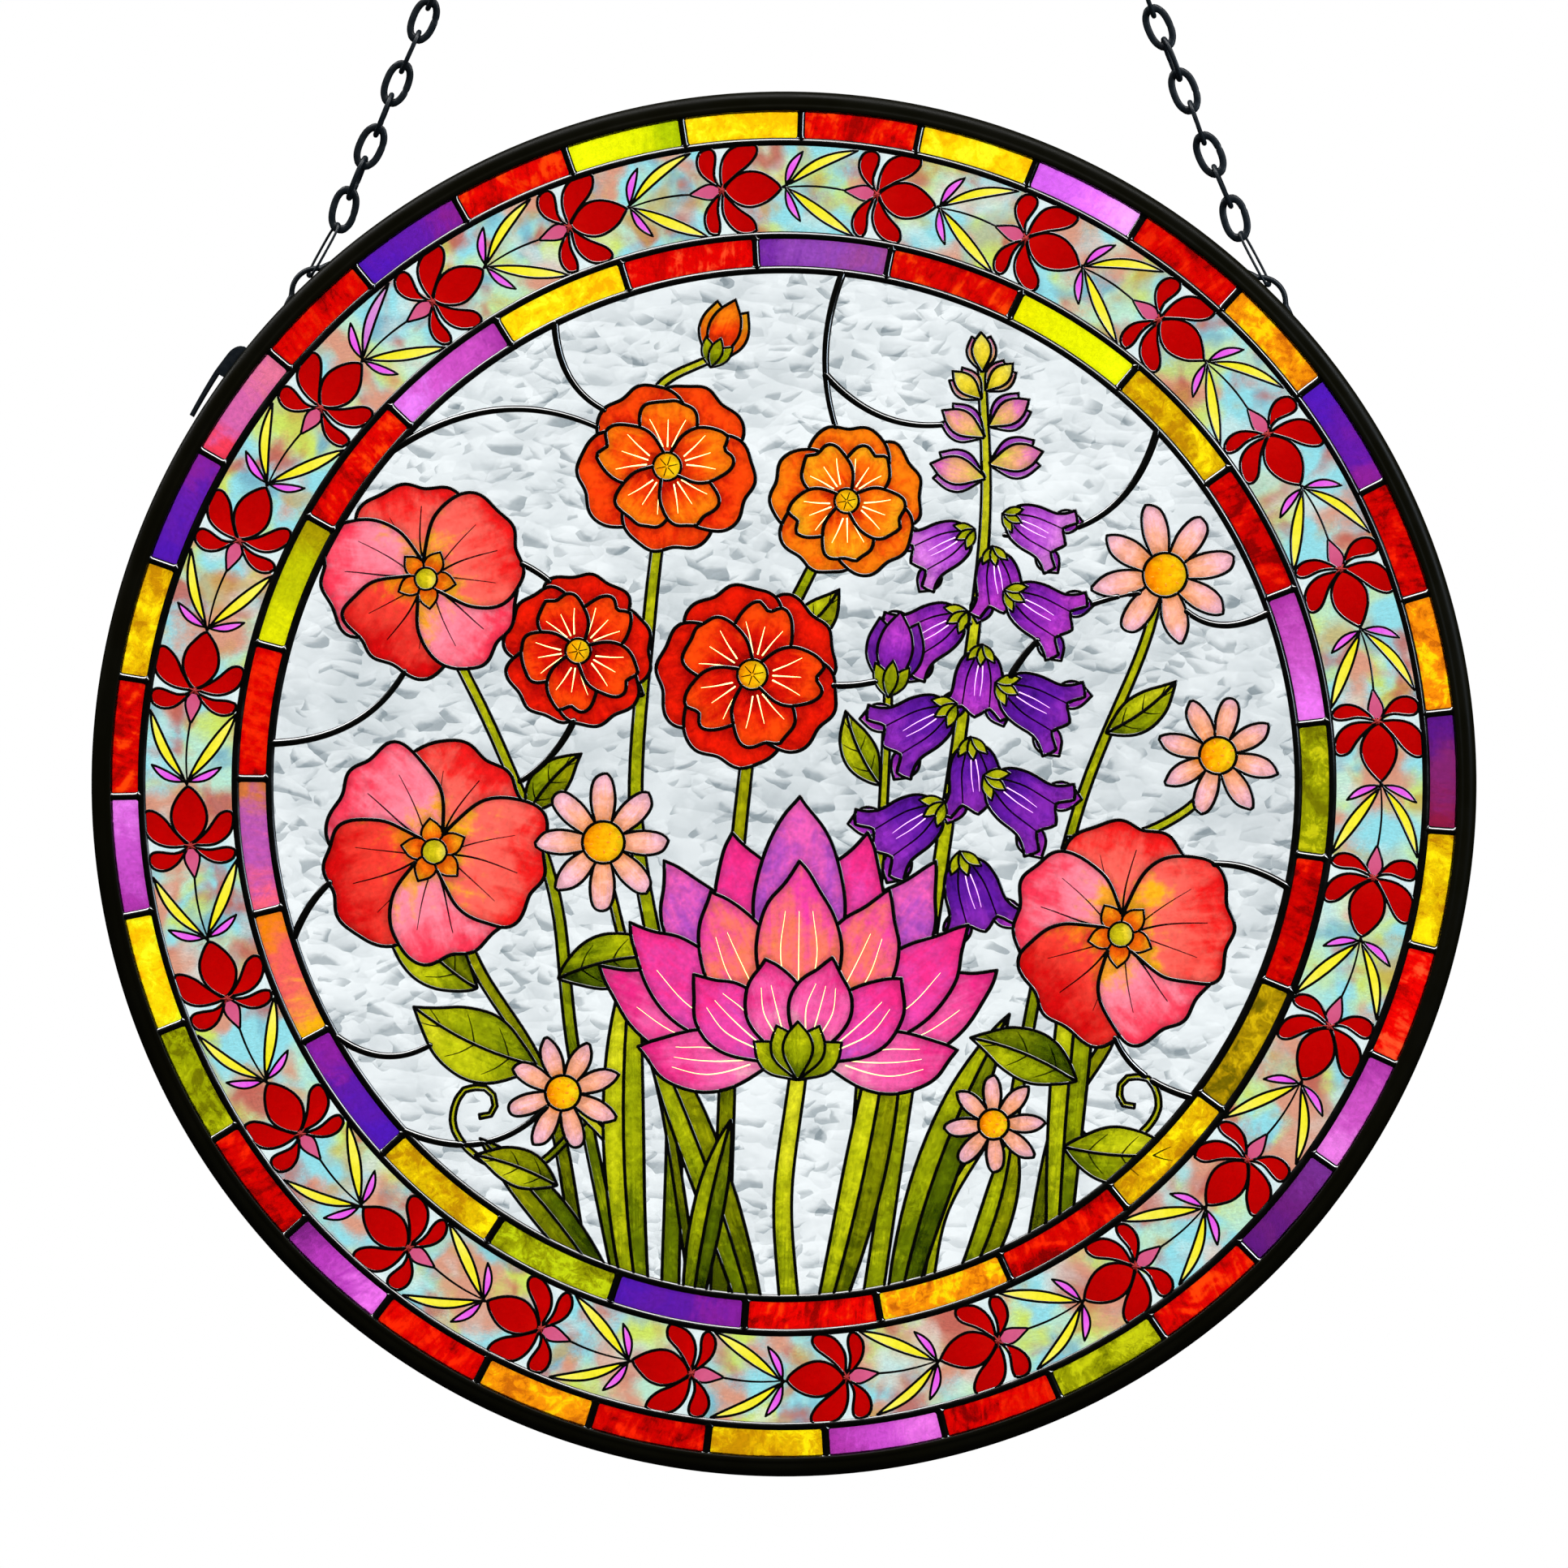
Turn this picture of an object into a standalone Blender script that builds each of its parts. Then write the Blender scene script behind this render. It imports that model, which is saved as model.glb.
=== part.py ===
"""Round glass suncatcher: a glass disc in a black metal rim, hung on one chain from a ring.

Frame of the part: +Z up, the picture side faces -Y, the disc lies in the XZ plane.
The origin is the inner top of the hanging ring, where a hook bears. Units are metres.
"""

import math

import bmesh
import bpy
from mathutils import Matrix, Vector

MM = 0.001
GAP = 0.3 * MM  # between pieces that only touch

# ---- disc and rim
SEGMENTS = 80
RIM_R = 127.0 * MM  # outer radius of the rim
RIM_LIP_R = 123.4 * MM  # inner edge of the rim's flanges
RIM_HALF = 3.1 * MM  # half of the rim's width, front to back
FLANGE = 0.8 * MM
WEB = 1.0 * MM
ROUND = 1.1 * MM  # rounding of the rim's outer shoulders
GLASS_HALF = 2.0 * MM  # half of the glass thickness
GLASS_R = RIM_R - WEB - GAP
GLASS_SEAM = 0.4 * MM  # ground edge of the glass

# ---- loops on the rim
LOOP_WIRE = 1.0 * MM
LOOP_R = 4.5 * MM  # centre line of the loop's wire
LOOP_CENTRE_R = 124.45 * MM  # the loop's own centre lies inside the rim
LOOP_ANGLE = 44.15  # degrees from the top, left and right
HOOK_ANGLE = 36.0  # degrees round the loop, from its middle to where the chain hooks it

# ---- chain
WIRE_W, WIRE_T = 1.25 * MM, 0.86 * MM  # flattened wire, in the link's plane and across it
LINK_L, LINK_W = 8.66 * MM, 5.60 * MM  # outside of a link
LINKS = 34  # on each side, above the long end link
END_WIRE = 0.6 * MM
END_L, END_W = 11.25 * MM, 4.8 * MM
END_LEAN = 28.5  # degrees from the vertical, towards the middle
END_TURN = 77.0  # degrees about the end link's own line, from the plane of the disc
END_DROP = 1.47 * MM  # from the loop's wire to the end link's lower bend, centre to centre
BITE = 0.12 * MM  # links of one chain press this far into each other where they touch

# ---- hanging ring
RING_WIRE = 1.6 * MM
RING_R = 7.0 * MM  # centre line of the ring's wire

# ---- clip on the rim, left of the left loop (angles in degrees from the top)
CLIP_FROM, CLIP_BLOCK_TO, CLIP_TO = 51.5, 54.6, 58.7
CLIP_RISE, CLIP_TIP_RISE, CLIP_LEAF, CLIP_HALF = 1.94 * MM, 1.30 * MM, 0.8 * MM, 2.0 * MM


def clear_scene():
    for obj in list(bpy.data.objects):
        bpy.data.objects.remove(obj, do_unlink=True)


def paint(name, colour, roughness, metallic=0.0, transmission=0.0):
    material = bpy.data.materials.new(name)
    material.use_nodes = True
    shader = material.node_tree.nodes["Principled BSDF"]
    shader.inputs["Base Color"].default_value = (*colour, 1.0)
    shader.inputs["Roughness"].default_value = roughness
    shader.inputs["Metallic"].default_value = metallic
    shader.inputs["Transmission Weight"].default_value = transmission
    material.diffuse_color = (*colour, 1.0)
    return material


def link_object(name, mesh, material=None, parent=None):
    obj = bpy.data.objects.new(name, mesh)
    bpy.context.scene.collection.objects.link(obj)
    if material:
        mesh.materials.append(material)
    obj.parent = parent
    return obj


def finish(bm, name, smooth=35.0):
    bmesh.ops.recalc_face_normals(bm, faces=bm.faces)
    mesh = bpy.data.meshes.new(name)
    bm.to_mesh(mesh)
    bm.free()
    mesh.shade_smooth()
    mesh.set_sharp_from_angle(angle=math.radians(smooth))
    return mesh


def lathe(name, profile):
    """The closed profile of (radius, y) points, turned about the Y axis."""
    bm = bmesh.new()
    verts = [bm.verts.new((0.0, y, r)) for r, y in profile]
    edges = [bm.edges.new((a, b)) for a, b in zip(verts, verts[1:] + verts[:1])]
    bmesh.ops.spin(
        bm,
        geom=verts + edges,
        cent=(0, 0, 0),
        axis=(0, 1, 0),
        angle=math.tau,
        steps=SEGMENTS,
        use_merge=True,
    )
    bmesh.ops.remove_doubles(bm, verts=bm.verts, dist=1e-6)
    return finish(bm, name)


def ring_of_sections(bm, sections, closed):
    """Skins a row of equal cross-sections, each a list of points, into one body."""
    rows = [[bm.verts.new(p) for p in section] for section in sections]
    n = len(rows[0])
    pairs = list(zip(rows, rows[1:] + rows[:1])) if closed else list(zip(rows, rows[1:]))
    for a, b in pairs:
        for i in range(n):
            bm.faces.new((a[i], a[(i + 1) % n], b[(i + 1) % n], b[i]))
    if not closed:
        bm.faces.new(rows[0])
        bm.faces.new(rows[-1][::-1])


def oval_path(half_straight, end_r, per_end):
    """(x, z) points round an oval whose length runs along z, with flat-topped ends."""
    step = math.pi / (per_end - 1)
    reach = end_r / math.cos(step / 2) if per_end % 2 == 0 else end_r
    points = []
    for sign in (1, -1):
        for i in range(per_end):
            a = math.pi * i / (per_end - 1)
            x = end_r * math.cos(a)
            z = reach * math.sin(a)
            points.append((sign * x, sign * (half_straight + z)))
    return points


def oval_link(name, length, width, wire_w, wire_t, per_end, sides):
    """A chain link round an oval path. sides is 4 for flattened wire, more for round."""
    end_r = (width - wire_w) / 2
    half_straight = (length - wire_w) / 2 - end_r
    path = oval_path(half_straight, end_r, per_end)
    bm = bmesh.new()
    sections = []
    for i, (x, z) in enumerate(path):
        (xa, za), (xb, zb) = path[i - 1], path[(i + 1) % len(path)]
        d0 = Vector((x - xa, z - za)).normalized()
        d1 = Vector((xb - x, zb - z)).normalized()
        tangent = (d0 + d1).normalized()
        normal = Vector((tangent.y, -tangent.x))
        stretch = 1 / max(0.5, math.sqrt((1 + d0.dot(d1)) / 2))
        section = []
        for k in range(sides):
            a = math.tau * (k + 0.5) / sides
            if sides == 4:
                u = math.copysign(wire_w / 2, math.cos(a))
                v = math.copysign(wire_t / 2, math.sin(a))
            else:
                u = wire_w / 2 * math.cos(a)
                v = wire_t / 2 * math.sin(a)
            section.append((x + normal.x * u * stretch, v, z + normal.y * u * stretch))
        sections.append(section)
    ring_of_sections(bm, sections, closed=True)
    return finish(bm, name)


def torus(name, radius, wire, steps, sides):
    bm = bmesh.new()
    sections = []
    for i in range(steps):
        a = math.tau * i / steps
        out = Vector((math.sin(a), 0, math.cos(a)))
        section = []
        for k in range(sides):
            b = math.tau * k / sides
            section.append(out * (radius + wire / 2 * math.cos(b)) + Vector((0, wire / 2 * math.sin(b), 0)))
        sections.append(section)
    ring_of_sections(bm, sections, closed=True)
    return finish(bm, name)


def arc_wire(name, radius, wire, half_angle, steps, sides):
    """A bent wire: part of a circle about the origin, open towards -Z."""
    bm = bmesh.new()
    sections = []
    for i in range(steps + 1):
        a = -half_angle + 2 * half_angle * i / steps
        out = Vector((math.sin(a), 0, math.cos(a)))
        section = []
        for k in range(sides):
            b = math.tau * k / sides
            section.append(out * (radius + wire / 2 * math.cos(b)) + Vector((0, wire / 2 * math.sin(b), 0)))
        sections.append(section)
    ring_of_sections(bm, sections, closed=False)
    return finish(bm, name)


def on_disc(radius, degrees):
    """A point of the disc's plane at a radius and an angle from the top, positive to the right."""
    a = math.radians(degrees)
    return Vector((radius * math.sin(a), 0, radius * math.cos(a)))


def clip_mesh(name):
    """A flat leaf along the rim: its upper end is a solid foot on the rim, its lower end stands free."""
    outer, inner = [], []
    steps = 14
    for i in range(steps + 1):
        f = i / steps
        angle = CLIP_FROM + (CLIP_TO - CLIP_FROM) * f
        nose = min(1.0, (angle - CLIP_FROM) / 1.3)
        rise = CLIP_RISE * math.sqrt(max(0.0, 1 - (1 - nose) ** 2)) if nose < 1 else CLIP_RISE
        fade = max(0.0, (angle - CLIP_BLOCK_TO) / (CLIP_TO - CLIP_BLOCK_TO))
        rise += (CLIP_TIP_RISE - CLIP_RISE) * fade
        rise = max(rise, GAP + 0.25 * MM)
        outer.append(on_disc(RIM_R + rise, -angle))
        low = GAP if angle <= CLIP_BLOCK_TO else rise - CLIP_LEAF
        inner.append((angle, RIM_R + low, rise))
    lower = []
    for k, (angle, r, rise) in enumerate(inner):
        if lower and inner[k - 1][0] <= CLIP_BLOCK_TO < angle:
            lower.append(on_disc(RIM_R + GAP, -CLIP_BLOCK_TO))
            lower.append(on_disc(RIM_R + CLIP_RISE - CLIP_LEAF, -CLIP_BLOCK_TO - 0.12))
        lower.append(on_disc(r, -angle))
    outline = outer + lower[::-1]
    bm = bmesh.new()
    verts = [bm.verts.new(p + Vector((0, -CLIP_HALF, 0))) for p in outline]
    face = bm.faces.new(verts)
    out = bmesh.ops.extrude_face_region(bm, geom=[face])
    moved = [g for g in out["geom"] if isinstance(g, bmesh.types.BMVert)]
    bmesh.ops.translate(bm, verts=moved, vec=(0, 2 * CLIP_HALF, 0))
    bmesh.ops.remove_doubles(bm, verts=bm.verts, dist=1e-6)
    return finish(bm, name)


def rim_profile():
    """(radius, y) points of the U-shaped rim, from the front lip outward and round to the back lip."""
    front = [(RIM_LIP_R, -RIM_HALF + FLANGE), (RIM_LIP_R, -RIM_HALF + 0.35 * MM), (RIM_LIP_R + 0.5 * MM, -RIM_HALF)]
    for i in range(3):
        a = math.radians(90 - 45 * i)
        front.append((RIM_R - ROUND + ROUND * math.cos(a), -RIM_HALF + ROUND - ROUND * math.sin(a)))
    back = [(r, -y) for r, y in reversed(front)]
    channel = [(RIM_R - WEB, RIM_HALF - FLANGE), (RIM_R - WEB, -RIM_HALF + FLANGE)]
    return front + back + channel


def chain(name, side, hook, ring_centre, material, parent):
    """The long end link and the row of links from a rim loop up to the hanging ring, joined where they touch."""
    lean = -side * math.radians(END_LEAN)
    out = Vector((math.sin(lean), 0, math.cos(lean)))
    end_middle = hook + out * ((END_L - END_WIRE) / 2 - END_DROP)
    end = oval_link(name + "_end", END_L, END_W, END_WIRE, END_WIRE, 5, 5)
    first = link_object(name, end, material, parent)
    first.matrix_local = (
        Matrix.Translation(end_middle)
        @ Matrix.Rotation(lean, 4, "Y")
        @ Matrix.Rotation(side * math.radians(END_TURN), 4, "Z")
    )

    start = end_link_top(hook, side)
    line = ring_centre - start
    base = Matrix.Translation(start) @ Matrix.Rotation(math.atan2(line.x, line.z), 4, "Y")
    plain = oval_link(name + "_link", LINK_L, LINK_W, WIRE_W, WIRE_T, 4, 4)
    others = bpy.data.collections.new(name + "_links")
    bpy.context.scene.collection.children.link(others)
    others.hide_render = True
    for i in range(LINKS):
        obj = bpy.data.objects.new(f"{name}_link_{i + 1:02d}", plain)
        others.objects.link(obj)
        obj.parent = parent
        height = FIRST_LOW + (LINK_L - WIRE_W) / 2 + PITCH * i
        turn = math.radians(0.0 if i % 2 == 0 else 90.0)
        obj.matrix_local = base @ Matrix.Translation((0, 0, height)) @ Matrix.Rotation(turn, 4, "Z")
        obj.hide_render = True
        obj.display_type = "WIRE"
    join = first.modifiers.new("join_links", "BOOLEAN")
    join.operation = "UNION"
    join.operand_type = "COLLECTION"
    join.collection = others
    join.solver = "EXACT"
    return first


PITCH = LINK_L - 2 * WIRE_W + BITE
FIRST_LOW = -(END_WIRE + WIRE_W) / 2 + BITE  # of the first plain link's lower bend, from the end link's upper bend
ROW = FIRST_LOW + (LINK_L - WIRE_W) + (LINKS - 1) * PITCH  # from the end link's upper bend to the last upper bend


def hook_point(side):
    """Where the end link hooks the loop's wire, from the disc's centre."""
    axis, along = on_disc(1.0, side * LOOP_ANGLE), on_disc(1.0, side * (LOOP_ANGLE - 90.0))
    a = math.radians(HOOK_ANGLE)
    return axis * (LOOP_CENTRE_R + LOOP_R * math.cos(a)) + along * (LOOP_R * math.sin(a))


def end_link_top(hook, side):
    lean = -side * math.radians(END_LEAN)
    return hook + Vector((math.sin(lean), 0, math.cos(lean))) * (END_L - END_WIRE - END_DROP)


def main():
    clear_scene()
    black = paint("black_rim", (0.012, 0.012, 0.010), 0.42, 0.2)
    chain_black = paint("black_chain", (0.010, 0.014, 0.018), 0.38, 0.5)
    glass = paint("clear_glass", (0.90, 0.93, 0.94), 0.08, 0.0, 1.0)

    # The ring hangs straight above the middle of the disc, as high as the chains let it.
    start = end_link_top(hook_point(1), 1)
    to_centre = ROW + RING_R - (RING_WIRE + WIRE_W) / 2 - GAP
    rise = math.sqrt(to_centre**2 - start.x**2)
    ring_centre = Vector((0, 0, -(RING_R - RING_WIRE / 2)))
    disc_centre = ring_centre - Vector((0, 0, rise + start.z))

    disc = bpy.data.objects.new("disc_frame", None)
    bpy.context.scene.collection.objects.link(disc)
    disc.location = disc_centre

    # glass
    bm = bmesh.new()
    bmesh.ops.create_cone(
        bm, cap_ends=True, cap_tris=False, segments=SEGMENTS, radius1=GLASS_R, radius2=GLASS_R, depth=2 * GLASS_HALF
    )
    bmesh.ops.rotate(bm, verts=bm.verts, cent=(0, 0, 0), matrix=Matrix.Rotation(math.radians(90), 3, "X"))
    panel = link_object("glass_panel", finish(bm, "glass_panel"), glass, disc)
    seam = panel.modifiers.new("ground_edge", "BEVEL")
    seam.width = GLASS_SEAM
    seam.segments = 1
    seam.limit_method = "ANGLE"
    seam.angle_limit = math.radians(60)

    # rim
    link_object("rim", lathe("rim", rim_profile()), black, disc)

    # loops on the rim: bent wire whose feet are cut to the rim's curve
    bm = bmesh.new()
    bmesh.ops.create_cone(
        bm, cap_ends=True, cap_tris=False, segments=SEGMENTS, radius1=RIM_R + GAP, radius2=RIM_R + GAP, depth=8 * MM
    )
    bmesh.ops.rotate(bm, verts=bm.verts, cent=(0, 0, 0), matrix=Matrix.Rotation(math.radians(90), 3, "X"))
    cutter = link_object("rim_cutter", finish(bm, "rim_cutter"), None, disc)
    cutter.hide_render = True
    cutter.display_type = "WIRE"
    loop_mesh = arc_wire("rim_loop", LOOP_R, LOOP_WIRE, math.radians(72), 12, 6)
    for name, side in (("rim_loop_left", -1), ("rim_loop_right", 1)):
        obj = link_object(name, loop_mesh.copy(), black, disc)
        angle = side * LOOP_ANGLE
        obj.location = on_disc(LOOP_CENTRE_R, angle)
        obj.rotation_euler = (0, math.radians(angle), 0)
        cut = obj.modifiers.new("cut_feet", "BOOLEAN")
        cut.operation = "DIFFERENCE"
        cut.object = cutter
        cut.solver = "EXACT"

    # clip on the rim
    link_object("rim_clip", clip_mesh("rim_clip"), black, disc)

    # hanging ring
    ring = link_object("hanging_ring", torus("hanging_ring", RING_R, RING_WIRE, 24, 6), chain_black)
    ring.location = ring_centre

    # chains
    for name, side in (("chain_left", -1), ("chain_right", 1)):
        chain(name, side, hook_point(side), ring_centre - disc_centre, chain_black, disc)


main()
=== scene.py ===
"""Glass suncatcher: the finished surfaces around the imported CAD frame.

The picture side faces -Y. Points on the face of the disc are (x, z) in millimetres from its centre.
"""

import math
import random

import bmesh
import bpy
import numpy as np
from mathutils import Matrix, Vector
from mathutils.geometry import delaunay_2d_cdt


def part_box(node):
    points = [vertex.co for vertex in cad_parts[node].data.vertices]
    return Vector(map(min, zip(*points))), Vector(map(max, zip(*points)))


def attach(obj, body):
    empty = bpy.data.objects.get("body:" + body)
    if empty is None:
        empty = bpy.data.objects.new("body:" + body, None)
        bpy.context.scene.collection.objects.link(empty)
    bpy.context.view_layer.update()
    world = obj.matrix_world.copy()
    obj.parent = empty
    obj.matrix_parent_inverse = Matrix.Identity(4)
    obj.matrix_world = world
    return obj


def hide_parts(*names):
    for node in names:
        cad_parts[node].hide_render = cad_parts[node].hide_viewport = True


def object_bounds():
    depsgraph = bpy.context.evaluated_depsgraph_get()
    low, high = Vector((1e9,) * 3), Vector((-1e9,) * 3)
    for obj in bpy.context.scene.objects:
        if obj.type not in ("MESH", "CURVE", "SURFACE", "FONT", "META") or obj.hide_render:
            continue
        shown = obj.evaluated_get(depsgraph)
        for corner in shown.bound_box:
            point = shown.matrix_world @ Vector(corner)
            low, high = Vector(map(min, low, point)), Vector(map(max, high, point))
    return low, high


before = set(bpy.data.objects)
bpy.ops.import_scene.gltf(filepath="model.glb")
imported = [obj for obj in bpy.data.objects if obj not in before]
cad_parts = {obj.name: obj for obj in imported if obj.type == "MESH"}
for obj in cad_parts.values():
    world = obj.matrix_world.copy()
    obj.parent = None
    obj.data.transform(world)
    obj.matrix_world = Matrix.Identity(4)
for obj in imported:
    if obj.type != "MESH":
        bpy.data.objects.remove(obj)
cad_lo, cad_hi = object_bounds()
MM = 0.001

rim_lo, rim_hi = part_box("rim")
DISC = (rim_lo + rim_hi) / 2  # centre of the disc
RIM_R = (rim_hi.x - rim_lo.x) / 2 / MM
LIP_R = 123.4
RIM_HALF = (rim_hi.y - rim_lo.y) / 2 / MM
GLASS_R = 125.7
GLASS_FRONT = -2.0  # y of the glass's front face
PLATE_BACK, PLATE_FRONT = -2.01, -2.15  # the colours lie on the glass as thin films
LINE_FOOT = -1.98
TURN = -0.55  # degrees: the border's own turn on the disc, clockwise positive
TURN_OF_VIEW = 0.55  # degrees by which the disc hangs clockwise of upright as it is seen

# ---------------------------------------------------------------- materials


def linear(c):
    out = []
    for v in c[:3]:
        v = v / 255.0
        out.append(v / 12.92 if v <= 0.04045 else ((v + 0.055) / 1.055) ** 2.4)
    return tuple(out)


class Nodes:
    """A small helper that builds one Principled material."""

    def __init__(self, name, **values):
        self.material = bpy.data.materials.new(name)
        self.material.use_nodes = True
        self.tree = self.material.node_tree
        self.shader = self.tree.nodes["Principled BSDF"]
        for key, value in values.items():
            self.shader.inputs[key.replace("_", " ")].default_value = value

    def add(self, kind, **props):
        node = self.tree.nodes.new(kind)
        for key, value in props.items():
            setattr(node, key, value)
        return node

    def wire(self, source, target):
        self.tree.links.new(source, target)

    def put(self, socket, value):
        if isinstance(value, bpy.types.NodeSocket):
            self.wire(value, socket)
        elif value is not None:
            socket.default_value = value

    def attribute(self, name, output="Color"):
        return self.add("ShaderNodeAttribute", attribute_name=name).outputs[output]

    def math(self, operation, a, b=None, c=None, clamp=False):
        node = self.add("ShaderNodeMath", operation=operation, use_clamp=clamp)
        for socket, value in zip(node.inputs, (a, b, c)):
            self.put(socket, value)
        return node.outputs[0]

    def vector(self, operation, a, b=None):
        node = self.add("ShaderNodeVectorMath", operation=operation)
        self.put(node.inputs[0], a)
        if operation == "SCALE":
            self.put(node.inputs["Scale"], b)
        else:
            self.put(node.inputs[1], b)
        return node.outputs[0]

    def ramp(self, value, low, high, to_low=0.0, to_high=1.0, smooth=True):
        node = self.add("ShaderNodeMapRange")
        node.interpolation_type = "SMOOTHSTEP" if smooth else "LINEAR"
        for key, v in (("Value", value), ("From Min", low), ("From Max", high), ("To Min", to_low), ("To Max", to_high)):
            self.put(node.inputs[key], v)
        return node.outputs["Result"]

    def mix(self, factor, a, b, blend="MIX"):
        node = self.add("ShaderNodeMix", data_type="RGBA", blend_type=blend)
        self.put(node.inputs["Factor"], factor)
        colours = [i for i in node.inputs if i.type == "RGBA"]
        for socket, value in zip(colours, (a, b)):
            self.put(socket, (*value, 1.0) if isinstance(value, tuple) and len(value) == 3 else value)
        return [o for o in node.outputs if o.type == "RGBA"][0]

    def place(self, scale=(1, 1, 1), turn=(0, 0, 0), offset=(0, 0, 0)):
        """Object coordinates in millimetres from the disc's centre, stretched."""
        coord = self.add("ShaderNodeTexCoord").outputs["Object"]
        moved = self.vector("SUBTRACT", coord, tuple(DISC))
        mapping = self.add("ShaderNodeMapping")
        mapping.inputs["Scale"].default_value = tuple(1000.0 * s for s in scale)
        mapping.inputs["Rotation"].default_value = tuple(math.radians(t) for t in turn)
        mapping.inputs["Location"].default_value = offset
        self.wire(moved, mapping.inputs["Vector"])
        return mapping.outputs[0]

    def noise(self, at, scale=1.0, detail=3.0, rough=0.55, distortion=0.0, colour=False):
        node = self.add("ShaderNodeTexNoise")
        self.wire(at, node.inputs["Vector"])
        node.inputs["Scale"].default_value = scale
        node.inputs["Detail"].default_value = detail
        node.inputs["Roughness"].default_value = rough
        node.inputs["Distortion"].default_value = distortion
        return node.outputs["Color" if colour else "Fac"]

    def bump(self, height, strength, distance):
        node = self.add("ShaderNodeBump")
        node.inputs["Strength"].default_value = strength
        node.inputs["Distance"].default_value = distance
        self.wire(height, node.inputs["Height"])
        self.wire(node.outputs[0], self.shader.inputs["Normal"])


def black_paint(name, dark, light, rough, scale, bump, metallic=0.0, specular=0.5):
    n = Nodes(name, Metallic=metallic, Specular_IOR_Level=specular)
    at = n.place()
    cloud = n.noise(at, scale, 4, 0.6)
    n.wire(n.mix(cloud, dark, light), n.shader.inputs["Base Color"])
    n.wire(n.ramp(n.noise(at, scale * 2.3, 3), 0.3, 0.7, rough[0], rough[1]), n.shader.inputs["Roughness"])
    n.bump(n.noise(at, scale * 6, 3, 0.6), bump, 0.00012)
    return n.material


def enamel(name, wash, grain, margin):
    """Transparent colour fired on glass: three tints run from the base of a petal to its tip, clouded and streaked.

    wash is how far the tints wander, grain how much the colour mottles and margin how dark it gathers at the outline.
    """
    n = Nodes(name, Roughness=0.12, Transmission_Weight=1.0, IOR=1.45)
    local = n.add("ShaderNodeSeparateXYZ")
    n.wire(n.attribute("local", "Vector"), local.inputs[0])
    u, v, seed = local.outputs
    at = n.place()
    shift = n.add("ShaderNodeCombineXYZ")
    n.wire(n.math("MULTIPLY", seed, 61.0), shift.inputs[1])
    at = n.vector("ADD", at, shift.outputs[0])
    cloud = n.noise(at, 0.17, 4, 0.6, 0.6)
    patch = n.noise(at, 0.45, 4, 0.65, 0.8)
    fine = n.noise(at, 1.1, 3, 0.65)
    along = n.add("ShaderNodeCombineXYZ")
    n.wire(n.math("MULTIPLY", u, 1.3), along.inputs[0])
    n.wire(n.math("MULTIPLY", v, 4.2), along.inputs[1])
    n.wire(n.math("MULTIPLY", seed, 40.0), along.inputs[2])
    streak = n.noise(along.outputs[0], 1.6, 3, 0.6)
    t = n.math("ADD", u, n.math("MULTIPLY", n.math("SUBTRACT", cloud, 0.53), 1.1 * wash))
    t = n.math("ADD", t, n.math("MULTIPLY", n.math("SUBTRACT", patch, 0.5), 0.55 * wash))
    t = n.math("ADD", t, n.math("MULTIPLY", n.math("SUBTRACT", streak, 0.5), 0.6 * wash))
    colour = n.mix(n.ramp(t, 0.0, 0.42), n.attribute("tint_a", "Color"), n.attribute("tint_b", "Color"))
    colour = n.mix(n.ramp(t, 0.38, 1.0), colour, n.attribute("tint_c", "Color"))
    edge = n.add("ShaderNodeSeparateXYZ")
    n.wire(n.attribute("rim", "Vector"), edge.inputs[0])
    near = n.ramp(n.math("ADD", edge.outputs[0], n.math("MULTIPLY", patch, 1.2)), 0.8, 2.3, 1.0 - margin, 1.0)
    shade = n.ramp(fine, 0.25, 0.75, 1.0 - grain, 1.0 + 0.75 * grain, smooth=False)
    shade = n.math("MULTIPLY", shade, n.ramp(patch, 0.3, 0.7, 1.0 - 0.6 * grain, 1.0 + 0.5 * grain))
    shade = n.math("MULTIPLY", shade, near)
    grey = n.add("ShaderNodeCombineColor")
    for i in range(3):
        n.wire(shade, grey.inputs[i])
    n.wire(n.mix(1.0, colour, grey.outputs[0], "MULTIPLY"), n.shader.inputs["Base Color"])
    n.wire(n.ramp(fine, 0.3, 0.7, 0.08, 0.16), n.shader.inputs["Roughness"])
    n.bump(n.math("ADD", cloud, n.math("MULTIPLY", fine, 0.3)), 0.12, 0.0004)
    return n.material


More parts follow.
